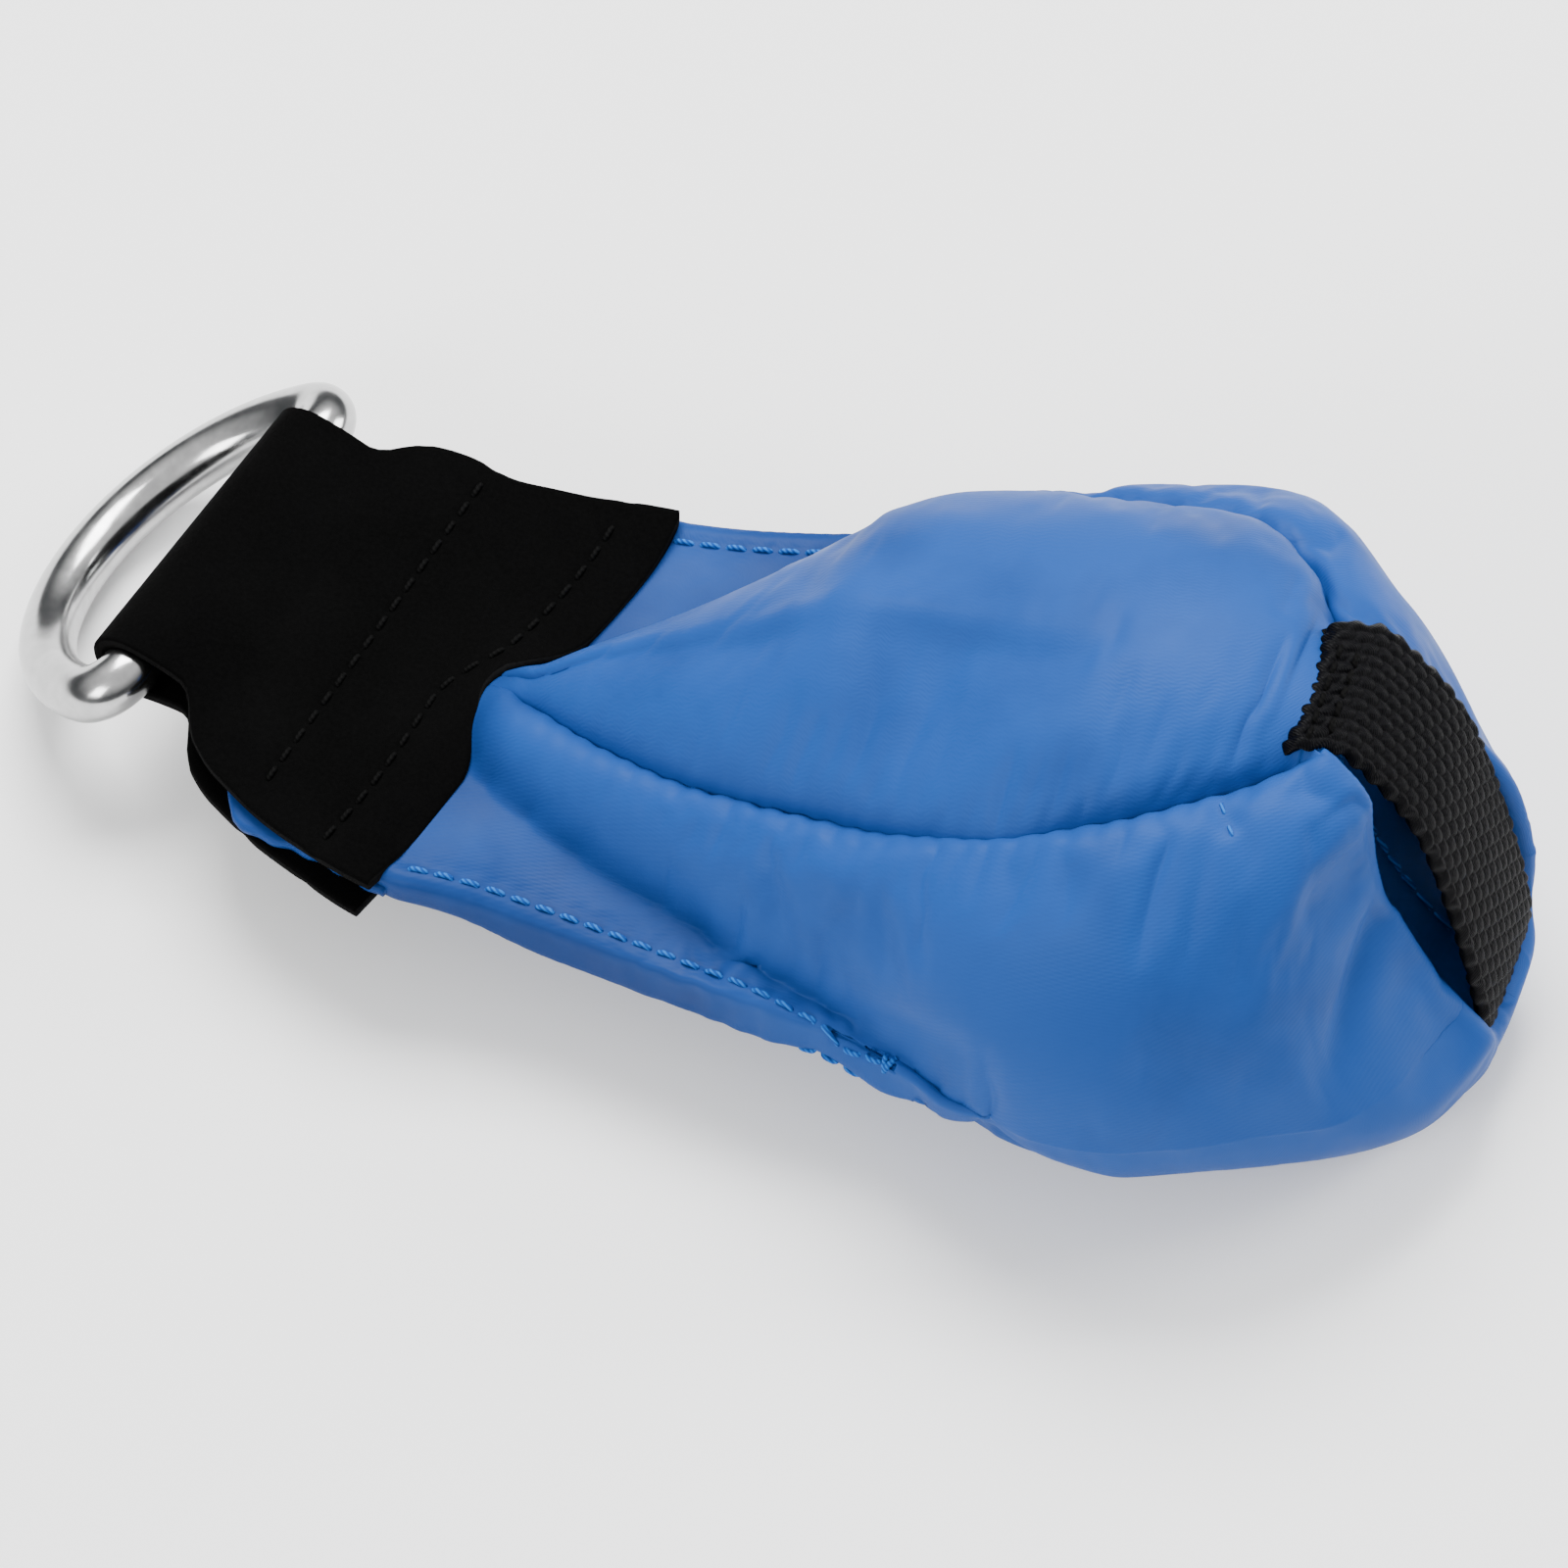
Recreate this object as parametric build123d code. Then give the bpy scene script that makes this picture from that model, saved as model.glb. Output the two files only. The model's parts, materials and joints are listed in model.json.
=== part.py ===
"""Arborist throw weight: a shot-filled nylon pouch with a steel D-ring and a webbing tail loop.

Frame: millimetres, +Z up. The origin is the centre of the flat patch that the filled pouch rests on.
+X runs along the filled pouch to its tail, and the D-ring is at the -X end. The flat neck and its
tab are turned a little about Z, because the empty neck flops to one side of the filled pouch.
"""
from build123d import *
import math
import os

# ---- driving dimensions ------------------------------------------------------------------
BAR_RADIUS = 2.75            # round steel bar of the D-ring
BOW_RADIUS = 19.7            # centreline radius of the ring's half-round bow
RING_CORNER = 3.1            # centreline radius where the bow turns into the straight bar
RING_DROOP = 39.0            # the bow hangs this far below the neck's plane, resting on the floor
RUNNING_GAP = 0.08           # radial gap between the bar and the tab folded round it

TAB_THICKNESS = 1.3
TAB_LENGTH = 34.0            # from the bar's centre to the tab's pouch-side edge
TAB_LAMINATED_FROM = 10.0    # the two tab layers close on the neck from here on
FOLD_HALF_WIDTH = 16.1       # the tab at the bar
FLARE_HALF_WIDTH = 25.5      # the tab at its pouch-side edge
NECK_THICKNESS = 1.6         # two folded layers of coated nylon
NECK_YAW = 16.0              # how far the neck is turned away from the pouch's axis
HINGE_GAP = 0.9              # bare half-gap each side of the neck's fold line

HINGE_X = -57.0              # the neck folds here, across the pouch's axis
NECK_EDGE_NEAR = (-8.5, -30.5)   # where the flat neck's near edge runs out into the pouch
NECK_EDGE_FAR = (-12.0, 31.5)

# Filled pouch: (x, near edge y, far edge y, lowest z, highest z). The floor flattens it at z = 0.
POUCH_STATIONS = (
    (-53.5, -3.0, 2.0, 14.0, 16.3),
    (-45.0, -10.0, 10.0, 10.0, 22.5),
    (-33.0, -17.0, 19.5, 4.5, 31.0),
    (-20.0, -23.5, 27.0, 0.0, 40.0),
    (-5.0, -30.5, 33.0, -1.6, 47.0),
    (8.0, -34.5, 36.0, -2.0, 49.5),
    (20.0, -31.0, 30.5, -2.0, 48.0),
    (30.0, -23.0, 21.5, -1.2, 42.0),
    (37.5, -13.5, 12.5, 1.0, 33.0),
    (41.5, -5.0, 7.0, 6.0, 22.0),
)
PANEL_THICKNESS = 0.8        # coated nylon with its turned seam allowance
LINER_THICKNESS = 0.8        # inner bag that holds the shot
LAYER_GAP = 0.1
SHOT_LEVEL = 38.0            # the shot stops below the crown, so the pouch stays slack

# Top and bottom gores: a leaf in plan, pointed at the neck and cut off square at the tail loop.
LEAF_TIP = (-54.0, -1.0)
LEAF_NEAR_BULGE = (-8.0, -16.5)
LEAF_NEAR_END = (18.0, -3.0)
LEAF_FAR_END = (19.0, 12.0)
LEAF_FAR_BULGE = (-20.0, 22.0)
GORE_SPLIT_Z = 20.0

# Webbing tail loop: sewn in above and below, standing clear of the valley at the pouch's tail.
LOOP_WIDTH = 15.0
LOOP_THICKNESS = 1.8
LOOP_CENTRE_Y = 4.5
LOOP_TOP = (17.6, 48.3)      # x, z of the upper sewn end
LOOP_CROWN = (33.0, 30.0)
LOOP_BOTTOM = (37.6, 4.2)
VALLEY_CROWN = (24.2, 24.0)
VALLEY_FAR_Y = 13.5          # the valley is closed on the far side and open on the near side

THREAD_RADIUS = 0.28
STITCH_PITCH = 2.5
STITCH_LENGTH = 1.9
EDGE_STITCH_INSET = 4.2      # top-stitching, in from the neck's folded edges
EDGE_STITCH_END_NEAR = (-20.0, -26.2)
EDGE_STITCH_END_FAR = (-33.5, 23.0)
BACKTACK_ROWS = 4            # short rows sewn over each other where the top-stitching stops
BACKTACK_LENGTH = 6.0
TACK_ROW_SPACING = 0.9
TAB_ROW_RING_SIDE = 16.5     # distance from the bar to each stitch row across the tab
TAB_ROW_POUCH_SIDE = 29.5

# ---- frames ------------------------------------------------------------------------------
yaw = math.radians(NECK_YAW)
droop = math.radians(RING_DROOP)
neck_z = BOW_RADIUS * math.sin(droop) + BAR_RADIUS
neck_dir = Vector(math.cos(yaw), -math.sin(yaw), 0)
hinge_distance = TAB_LENGTH + HINGE_GAP
hinge_point = Vector(HINGE_X, 0, neck_z)
bar_centre = hinge_point - neck_dir * hinge_distance
tab_frame = Plane(origin=bar_centre, x_dir=neck_dir, z_dir=(0, 0, 1)).location
hinge_frame = Plane(origin=hinge_point, x_dir=neck_dir, z_dir=(0, 0, 1)).location

nodes = {}


def box_between(low, high):
    """Axis-aligned block between two corners."""
    size = [h - l for l, h in zip(low, high)]
    centre = [(h + l) / 2 for l, h in zip(low, high)]
    return Pos(*centre) * Box(*size)


def stitch(start, end):
    """One short thread bridge between two points, with rounded ends."""
    a = Vector(start)
    b = Vector(end)
    run = b - a
    rod = Plane(origin=a, z_dir=run).location * Cylinder(
        THREAD_RADIUS, run.length, align=(Align.CENTER, Align.CENTER, Align.MIN))
    return rod + Pos(a.X, a.Y, a.Z) * Sphere(THREAD_RADIUS) + Pos(b.X, b.Y, b.Z) * Sphere(THREAD_RADIUS)


def stitch_row(start, end, place=None):
    """Stitches along a straight seam, one per pitch, as a list of separate solids."""
    a = Vector(start)
    run = Vector(end) - a
    count = int(run.length // STITCH_PITCH)
    step = run.normalized()
    row = []
    for i in range(count):
        first = a + step * (i * STITCH_PITCH)
        last = first + step * (STITCH_LENGTH - 2 * THREAD_RADIUS)
        row.append(stitch(first, last))
    return [piece.moved(place) for piece in row] if place is not None else row


# ---- D-ring ------------------------------------------------------------------------------
def make_d_ring():
    """Straight bar through the tab's fold, closed by a half-round bow."""
    half_disc = Circle(BOW_RADIUS) & (Pos(-BOW_RADIUS, 0) * Rectangle(2 * BOW_RADIUS, 4 * BOW_RADIUS))
    half_disc = fillet(half_disc.vertices(), RING_CORNER)
    path = half_disc.faces()[0].outer_wire()
    section = Plane(origin=(0, 0, 0), x_dir=(1, 0, 0), z_dir=(0, 1, 0)) * Circle(BAR_RADIUS)
    ring = sweep(section, path=path)
    return ring.moved(Rot(0, -RING_DROOP, 0)).moved(tab_frame)


# ---- tab and neck tongue -----------------------------------------------------------------
def teardrop(radius, flat_half_height, length):
    """Side view of a layer folded round the bar and closing to a flat lamination."""
    reach = TAB_LAMINATED_FROM
    distance = math.hypot(reach, flat_half_height)
    lean = math.atan2(flat_half_height, reach) + math.acos(radius / distance)
    tangent_x = radius * math.cos(lean)
    tangent_z = radius * math.sin(lean)
    outline = Polyline((tangent_x, tangent_z), (reach, flat_half_height), (length, flat_half_height),
                       (length, -flat_half_height), (reach, -flat_half_height), (tangent_x, -tangent_z))
    nose = ThreePointArc((tangent_x, -tangent_z), (-radius, 0), (tangent_x, tangent_z))
    return make_face([*outline.edges(), *nose.edges()])


def tab_outline(trim):
    """Plan of the tab: parallel at the bar, flaring to the pouch-side edge."""
    narrow = FOLD_HALF_WIDTH - trim
    wide = FLARE_HALF_WIDTH - trim
    back = -(BAR_RADIUS + RUNNING_GAP + TAB_THICKNESS + 1)
    far = Polyline((back, narrow), (TAB_LAMINATED_FROM, narrow))
    flare = Spline((TAB_LAMINATED_FROM, narrow), (20, narrow + 4.2), (TAB_LENGTH, wide),
                   tangents=[(1, 0.1), (1, 0.3)])
    end = Line((TAB_LENGTH, wide), (TAB_LENGTH, -wide))
    half = [far, flare]
    mirrored = [edge.mirror(Plane.XZ) for edge in half]
    front = Line((back, -narrow), (back, narrow))
    pieces = []
    for item in [*half, end, *mirrored, front]:
        pieces.extend(item.edges())
    return make_face(Wire.combine(pieces)[0].edges())


def make_ring_tab():
    """One strip of suede folded round the bar, its two layers sewn down on the neck."""
    inner_radius = BAR_RADIUS + RUNNING_GAP
    flat = NECK_THICKNESS / 2
    outer = teardrop(inner_radius + TAB_THICKNESS, flat + TAB_THICKNESS, TAB_LENGTH)
    inner = teardrop(inner_radius, flat, TAB_LENGTH + 1)
    wide = 4 * FLARE_HALF_WIDTH
    side = extrude(Plane.XZ * (outer - inner), wide / 2, both=True)
    plan = extrude(tab_outline(0), 20, both=True)
    return (side & plan).moved(tab_frame)


def make_neck_tongue():
    """Flat end of the nylon neck, between the tab's two layers."""
    slab = box_between((TAB_LAMINATED_FROM + 2, -40, -NECK_THICKNESS / 2), (TAB_LENGTH, 40, NECK_THICKNESS / 2))
    return (slab & extrude(tab_outline(0.5), 20, both=True)).moved(tab_frame)


def make_tab_stitch(distance, half_width):
    """A row across the tab, showing on both faces."""
    z = NECK_THICKNESS / 2 + TAB_THICKNESS + THREAD_RADIUS * 0.6
    upper = stitch_row((distance, -half_width, z), (distance, half_width, z), tab_frame)
    lower = stitch_row((distance, -half_width, -z), (distance, half_width, -z), tab_frame)
    return upper + lower


# ---- filled pouch ------------------------------------------------------------------------
def valley_wall(inset):
    """Side view of the valley's floor, an arc from above the pouch to the ledge under the loop."""
    top = (LOOP_TOP[0] + 1.5 - inset, LOOP_TOP[1] + 3)
    low = (LOOP_BOTTOM[0] - 1.5 - inset, LOOP_BOTTOM[1] + 3.5 - inset)
    return ThreePointArc(top, (VALLEY_CROWN[0] - inset, VALLEY_CROWN[1]), low)


def valley(inset):
    """Open hollow at the tail, under the webbing loop; inset grows it into the pouch."""
    wall = valley_wall(inset)
    top = wall @ 0
    low = wall @ 1
    outside = Polyline((low.X, low.Y), (70, low.Y), (70, top.Y), (top.X, top.Y))
    profile = make_face([*wall.edges(), *outside.edges()])
    far = VALLEY_FAR_Y + inset
    near = -60
    return Pos(0, far, 0) * extrude(Plane.XZ * profile, far - near)


def pouch(inset):
    """The pouch's closed form, its surface moved inwards by inset and flattened by the floor."""
    sections = []
    for x, near, far, low, high in POUCH_STATIONS:
        half_width = max((far - near) / 2 - inset, 0.4)
        half_height = max((high - low) / 2 - inset, 0.3)
        middle = Pos((far + near) / 2, (high + low) / 2)
        sections.append(Plane.YZ.offset(x) * middle * Ellipse(half_width, half_height))
    blank = loft(sections)
    first_x = POUCH_STATIONS[0][0] + inset
    last_x = POUCH_STATIONS[-1][0] - inset
    blank = blank & box_between((first_x, -60, inset), (last_x, 60, 80))
    return blank - valley(inset)


def neck_plate():
    """Flat flange of the neck, from its fold line to where the pouch takes over."""
    near_start = (hinge_frame * Pos(HINGE_GAP, -FLARE_HALF_WIDTH + 0.3, 0)).position
    far_start = (hinge_frame * Pos(HINGE_GAP, FLARE_HALF_WIDTH - 0.3, 0)).position
    outline = Polyline((near_start.X, near_start.Y), NECK_EDGE_NEAR, (0, 0), NECK_EDGE_FAR,
                       (far_start.X, far_start.Y), (near_start.X, near_start.Y))
    slab = extrude(make_face(outline.edges()), NECK_THICKNESS / 2, both=True)
    return Pos(0, 0, neck_z) * slab


def leaf_prism():
    """Plan of the top and bottom gores as a tall prism."""
    near = ThreePointArc(LEAF_TIP, LEAF_NEAR_BULGE, LEAF_NEAR_END)
    tail = Line(LEAF_NEAR_END, LEAF_FAR_END)
    far = ThreePointArc(LEAF_FAR_END, LEAF_FAR_BULGE, LEAF_TIP)
    return Pos(0, 0, -20) * extrude(make_face([*near.edges(), *tail.edges(), *far.edges()]), 120)


outer_form = pouch(0)
skin = (outer_form + neck_plate()) - pouch(PANEL_THICKNESS)
leaf = leaf_prism()
split_z = GORE_SPLIT_Z
above = box_between((-120, -90, split_z), (90, 90, 120))
below = box_between((-120, -90, -20), (90, 90, split_z))
near_side = box_between((-120, -90, -20), (90, LOOP_CENTRE_Y, 120))
far_side = box_between((-120, LOOP_CENTRE_Y, -20), (90, 90, 120))

top_panel = skin & leaf & above
bottom_panel = skin & leaf & below
sides = skin - leaf
near_panel = sides & near_side
far_panel = sides & far_side


def surface_z(x, y, from_above=True):
    """Height of the pouch's outer surface over a plan point, or None beside the pouch."""
    hits = outer_form.find_intersection_points(Axis((x, y, 0), (0, 0, 1)))
    heights = sorted(point.Z for point, _ in hits)
    if not heights:
        return None
    return heights[-1] if from_above else heights[0]


def seam_thread(bulge, end, from_above):
    """Seam stitches along one long side of the leaf, never lower than the floor."""
    arc = ThreePointArc(LEAF_TIP, bulge, end)
    count = int(arc.length // STITCH_PITCH)
    row = []
    for i in range(3, count - 1):
        first = arc.position_at(i * STITCH_PITCH / arc.length)
        last = arc.position_at((i * STITCH_PITCH + STITCH_LENGTH - 2 * THREAD_RADIUS) / arc.length)
        heights = [surface_z(p.X, p.Y, from_above) for p in (first, last)]
        if None in heights:
            continue
        lift = THREAD_RADIUS * (0.5 if from_above else 1.5)
        row.append(stitch((first.X, first.Y, heights[0] + lift), (last.X, last.Y, heights[1] + lift)))
    return row


def edge_row_ends(side):
    """Plan ends of the top-stitching along one neck edge."""
    start = (hinge_frame * Pos(HINGE_GAP + 1.5, side * (FLARE_HALF_WIDTH - EDGE_STITCH_INSET), 0)).position
    end = EDGE_STITCH_END_NEAR if side < 0 else EDGE_STITCH_END_FAR
    return (start.X, start.Y), end


def make_neck_edge_stitch(side):
    """Top-stitching along one folded neck edge, on both faces."""
    start, end = edge_row_ends(side)
    rise = NECK_THICKNESS / 2 + THREAD_RADIUS * 0.6
    rows = []
    for z in (neck_z + rise, neck_z - rise):
        rows += stitch_row((*start, z), (*end, z))
    return rows


def make_backtack(side):
    """Close zigzag of short rows that locks the end of the top-stitching."""
    start, end = edge_row_ends(side)
    along = (Vector(*end, 0) - Vector(*start, 0)).normalized()
    across = Vector(-along.Y, along.X, 0)
    z = neck_z + NECK_THICKNESS / 2 + THREAD_RADIUS * 0.6
    rows = []
    for i in range(BACKTACK_ROWS):
        shift = across * ((i - (BACKTACK_ROWS - 1) / 2) * TACK_ROW_SPACING)
        first = Vector(*end, z) + shift + along * 0.8
        rows += stitch_row(first, first + along * BACKTACK_LENGTH)
    return rows


def make_tail_seam():
    """Seam of the two side panels down the valley, behind the webbing loop."""
    wall = valley_wall(-THREAD_RADIUS)
    count = int(wall.length // STITCH_PITCH)
    row = []
    for i in range(3, count - 2):
        ends = [wall.position_at((i * STITCH_PITCH + step) / wall.length) for step in (0, 1.3)]
        row.append(stitch(*[(p.X, LOOP_CENTRE_Y, p.Y) for p in ends]))
    return row


def make_loop_tack(x, z, lean):
    """Stitch rows across the webbing where one of its ends is sewn in."""
    place = Plane(origin=(x, LOOP_CENTRE_Y, z), x_dir=(0, 1, 0), z_dir=(math.sin(lean), 0, math.cos(lean)))
    reach = LOOP_WIDTH / 2 - 1.2
    rows = []
    for shift in (-TACK_ROW_SPACING, TACK_ROW_SPACING):
        rows += stitch_row((-reach, shift, 0), (reach, shift, 0), place.location)
    return rows


nodes["top_panel"] = top_panel
nodes["bottom_panel"] = bottom_panel
nodes["near_panel"] = near_panel
nodes["far_panel"] = far_panel
nodes["d_ring"] = make_d_ring()
nodes["ring_tab"] = make_ring_tab()
nodes["neck_tongue"] = make_neck_tongue()
nodes["tab_stitch_ring_side"] = make_tab_stitch(TAB_ROW_RING_SIDE, 16.5)
nodes["tab_stitch_pouch_side"] = make_tab_stitch(TAB_ROW_POUCH_SIDE, 22.0)
for label, side in (("near", -1), ("far", 1)):
    nodes[f"neck_edge_stitch_{label}"] = make_neck_edge_stitch(side)
    nodes[f"neck_backtack_{label}"] = make_backtack(side)
for label, bulge, end in (("near", LEAF_NEAR_BULGE, LEAF_NEAR_END), ("far", LEAF_FAR_BULGE, LEAF_FAR_END)):
    nodes[f"top_{label}_seam_thread"] = seam_thread(bulge, end, True)
    nodes[f"bottom_{label}_seam_thread"] = seam_thread(bulge, end, False)
nodes["tail_seam_thread"] = make_tail_seam()

liner_inset = PANEL_THICKNESS + LAYER_GAP
shot_inset = liner_inset + LINER_THICKNESS + LAYER_GAP
nodes["inner_bag"] = pouch(liner_inset) - pouch(liner_inset + LINER_THICKNESS)
nodes["shot_fill"] = pouch(shot_inset) & box_between((-120, -90, 0), (90, 90, SHOT_LEVEL))

# ---- webbing tail loop -------------------------------------------------------------------
loop_arc = ThreePointArc(LOOP_TOP, LOOP_CROWN, LOOP_BOTTOM)
strip = Plane.XZ.offset(-LOOP_CENTRE_Y) * trace(loop_arc, LOOP_THICKNESS)
nodes["webbing_loop"] = extrude(strip, LOOP_WIDTH / 2, both=True) - pouch(PANEL_THICKNESS)
for label, share in (("top", 0.09), ("bottom", 0.91)):
    point = loop_arc.position_at(share)
    heading = loop_arc.tangent_at(share)
    out = Vector(-heading.Y, heading.X)
    outside = point + out * (LOOP_THICKNESS / 2 + THREAD_RADIUS * 0.5)
    nodes[f"loop_tack_{label}"] = make_loop_tack(outside.X, outside.Y, math.atan2(out.X, out.Y))

os.makedirs("parts", exist_ok=True)
for node, shape in nodes.items():
    part = Compound(children=shape) if isinstance(shape, list) else shape
    export_step(part, f"parts/{node}.step")
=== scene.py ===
import json
import math

import bpy
import numpy as np
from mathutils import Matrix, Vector
from mathutils.bvhtree import BVHTree


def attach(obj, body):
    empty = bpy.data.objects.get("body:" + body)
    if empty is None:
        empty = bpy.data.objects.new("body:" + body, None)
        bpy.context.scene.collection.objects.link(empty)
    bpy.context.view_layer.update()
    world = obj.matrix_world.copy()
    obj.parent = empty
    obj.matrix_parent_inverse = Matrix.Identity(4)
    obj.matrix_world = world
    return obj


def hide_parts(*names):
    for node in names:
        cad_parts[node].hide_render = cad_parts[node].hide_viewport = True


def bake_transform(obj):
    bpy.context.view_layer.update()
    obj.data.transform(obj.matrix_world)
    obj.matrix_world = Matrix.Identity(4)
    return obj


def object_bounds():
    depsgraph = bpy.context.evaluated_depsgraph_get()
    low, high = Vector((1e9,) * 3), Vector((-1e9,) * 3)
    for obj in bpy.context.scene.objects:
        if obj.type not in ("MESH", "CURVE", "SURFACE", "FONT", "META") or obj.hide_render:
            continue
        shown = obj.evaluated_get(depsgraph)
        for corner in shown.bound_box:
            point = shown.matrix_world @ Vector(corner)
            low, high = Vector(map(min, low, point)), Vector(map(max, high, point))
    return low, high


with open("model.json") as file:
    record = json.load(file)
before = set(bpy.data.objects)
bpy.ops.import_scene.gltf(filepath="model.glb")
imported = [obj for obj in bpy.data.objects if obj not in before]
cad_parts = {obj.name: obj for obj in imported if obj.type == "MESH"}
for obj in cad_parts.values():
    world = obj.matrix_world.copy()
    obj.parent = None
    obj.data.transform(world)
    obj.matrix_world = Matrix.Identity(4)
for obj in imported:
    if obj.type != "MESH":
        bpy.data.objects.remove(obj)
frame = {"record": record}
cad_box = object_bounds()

MM = 0.001

# ---- driving dimensions, in millimetres, in the CAD frame ----------------------------------
joints = {joint["name"]: joint for joint in frame["record"]["behaviour"]["joints"]}
HINGE = np.array(joints["neck_fold"]["pos_m"]) / MM
BAR = np.array(joints["ring_swing"]["pos_m"]) / MM
NECK_W = np.array(joints["neck_fold"]["axis"])          # across the neck, to the far side
NECK_T = np.array([NECK_W[1], -NECK_W[0], 0.0])         # along the neck, from ring to pouch
NECK_Z = HINGE[2]
NECK_YAW = math.atan2(NECK_W[0], NECK_W[1])
TAB_REACH = float(np.dot(HINGE - BAR, NECK_T))          # bar centre to the neck's fold line

BAR_RADIUS = 2.75
BOW_RADIUS = 19.7
RING_CORNER = 3.1
RING_DROOP = math.radians(39)
TAB_THICKNESS = 1.3
TAB_INNER = 0.95             # half the gap between the tab's two layers
TAB_CLOSES = 10.0            # from the bar's centre to where the layers meet the neck
BAR_CLEARANCE = 0.08         # between the bar and the fold that holds it
STITCH_PITCH = 2.5
STITCH_SHARE = 0.72          # part of each pitch that shows as thread
EDGE_ROLL = 2.2              # width of the neck's folded edge
FABRIC = 0.45                # thickness of the coated nylon
FLOOR_GAP = 0.03             # lowest point of the pouch's pattern, before it gets its thickness
SHOT_LEVEL = 38.0            # height that the shot fills the bag to
UP = np.array([0.0, 0.0, 1.0])


def smoothstep(a, b, x):
    t = np.clip((np.asarray(x, float) - a) / (b - a), 0.0, 1.0)
    return t * t * (3 - 2 * t)


def soft_max(a, b, radius):
    """The larger of two heights, with a rounded inner corner."""
    h = np.clip(0.5 + 0.5 * (a - b) / radius, 0.0, 1.0)
    return b + (a - b) * h + radius * h * (1 - h)


def soft_min(a, b, radius):
    """The smaller of two heights, with a rounded inner corner."""
    return -soft_max(-a, -b, radius)


def curve_through(knots, x):
    """Smooth monotone curve through (x, y) knots, so it never overshoots them."""
    kx, ky = np.array(knots, float).T
    h = np.diff(kx)
    d = np.diff(ky) / h
    m = np.zeros_like(kx)
    m[0], m[-1] = d[0], d[-1]
    for i in range(1, len(kx) - 1):
        if d[i - 1] * d[i] > 0:
            w1, w2 = 2 * h[i] + h[i - 1], h[i] + 2 * h[i - 1]
            m[i] = (w1 + w2) / (w1 / d[i - 1] + w2 / d[i])
    x = np.clip(np.asarray(x, float), kx[0], kx[-1])
    i = np.clip(np.searchsorted(kx, x, side="right") - 1, 0, len(h) - 1)
    t = (x - kx[i]) / h[i]
    return (ky[i] * (1 + 2 * t) * (1 - t) ** 2 + m[i] * h[i] * t * (1 - t) ** 2
            + ky[i + 1] * t * t * (3 - 2 * t) + m[i + 1] * h[i] * t * t * (t - 1))


def ripple(x, y, seed):
    """Slow seeded undulation between about -1 and 1."""
    rng = np.random.default_rng(seed)
    total = np.zeros(np.broadcast(x, y).shape)
    for _ in range(5):
        kx, ky = rng.normal(0, 1, 2)
        total += np.sin(kx * x + ky * y + rng.uniform(0, 2 * math.pi))
    return total / 3.2


# ---- mesh helpers --------------------------------------------------------------------------
def mesh_object(name, points, faces, materials, uv=None, face_material=None):
    """Object from points in millimetres. uv is one pair per point, in millimetres of cloth."""
    mesh = bpy.data.meshes.new(name)
    mesh.from_pydata([tuple(p) for p in np.asarray(points) * MM], [], faces)
    for material in materials:
        mesh.materials.append(material)
    mesh.polygons.foreach_set("use_smooth", [True] * len(mesh.polygons))
    if face_material is not None:
        mesh.polygons.foreach_set("material_index", face_material)
    if uv is not None:
        layer = mesh.uv_layers.new(name="cloth")
        index = np.empty(len(mesh.loops), dtype=int)
        mesh.loops.foreach_get("vertex_index", index)
        layer.data.foreach_set("uv", np.asarray(uv, float)[index].ravel())
    mesh.validate()
    mesh.update()
    obj = bpy.data.objects.new(name, mesh)
    bpy.context.scene.collection.objects.link(obj)
    return obj


def grid_faces(rows, cols, start=0, wrap=False):
    """Quads of a rows x cols block of points, wrapped round the columns if asked."""
    faces = []
    for i in range(rows - 1):
        for j in range(cols if wrap else cols - 1):
            a = start + i * cols + j
            b = start + i * cols + (j + 1) % cols
            faces.append((a, a + cols, b + cols, b))
    return faces


def end_caps(rows, cols):
    """The two end faces of a rows x cols tube."""
    return [tuple(range(cols)), tuple(reversed(range((rows - 1) * cols, rows * cols)))]


def slab_faces(rows, cols):
    """Faces of a slab's two skins, and of its rim, from two rows x cols blocks of points."""
    block = rows * cols
    skins = grid_faces(rows, cols)
    skins += [tuple(reversed(face)) for face in grid_faces(rows, cols, start=block)]
    edge = [(i, 0) for i in range(rows)] + [(rows - 1, j) for j in range(1, cols)]
    edge += [(i, cols - 1) for i in range(rows - 2, -1, -1)] + [(0, j) for j in range(cols - 2, 0, -1)]
    rim = []
    for (i, j), (k, l) in zip(edge, edge[1:] + edge[:1]):
        a, b = i * cols + j, k * cols + l
        rim.append((a, a + block, b + block, b))
    return skins, rim


def tube(path, radius, sides, closed=False):
    """Points and faces of a round tube along a path of points."""
    path = np.asarray(path, float)
    count = len(path)
    if closed:
        tangent = np.roll(path, -1, 0) - np.roll(path, 1, 0)
    else:
        tangent = np.gradient(path, axis=0)
    tangent /= np.linalg.norm(tangent, axis=1)[:, None]
    up = np.cross(tangent[0], [0.3, 0.5, 0.81])
    points = []
    for k in range(count):
        up = up - tangent[k] * np.dot(up, tangent[k])
        up /= np.linalg.norm(up)
        side = np.cross(tangent[k], up)
        r = radius[k] if np.ndim(radius) else radius
        for j in range(sides):
            angle = 2 * math.pi * j / sides
            points.append(path[k] + r * (math.cos(angle) * up + math.sin(angle) * side))
    faces = grid_faces(count, sides, wrap=True)
    if closed:
        last = (count - 1) * sides
        faces += [(last + j, j, (j + 1) % sides, last + (j + 1) % sides) for j in range(sides)]
    else:
        faces += end_caps(count, sides)
    return points, faces


def apply_modifiers(obj):
    """Bakes every modifier on obj into its mesh."""
    graph = bpy.context.evaluated_depsgraph_get()
    mesh = bpy.data.meshes.new_from_object(obj.evaluated_get(graph))
    old = obj.data
    obj.modifiers.clear()
    obj.data = mesh
    bpy.data.meshes.remove(old)


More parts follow.
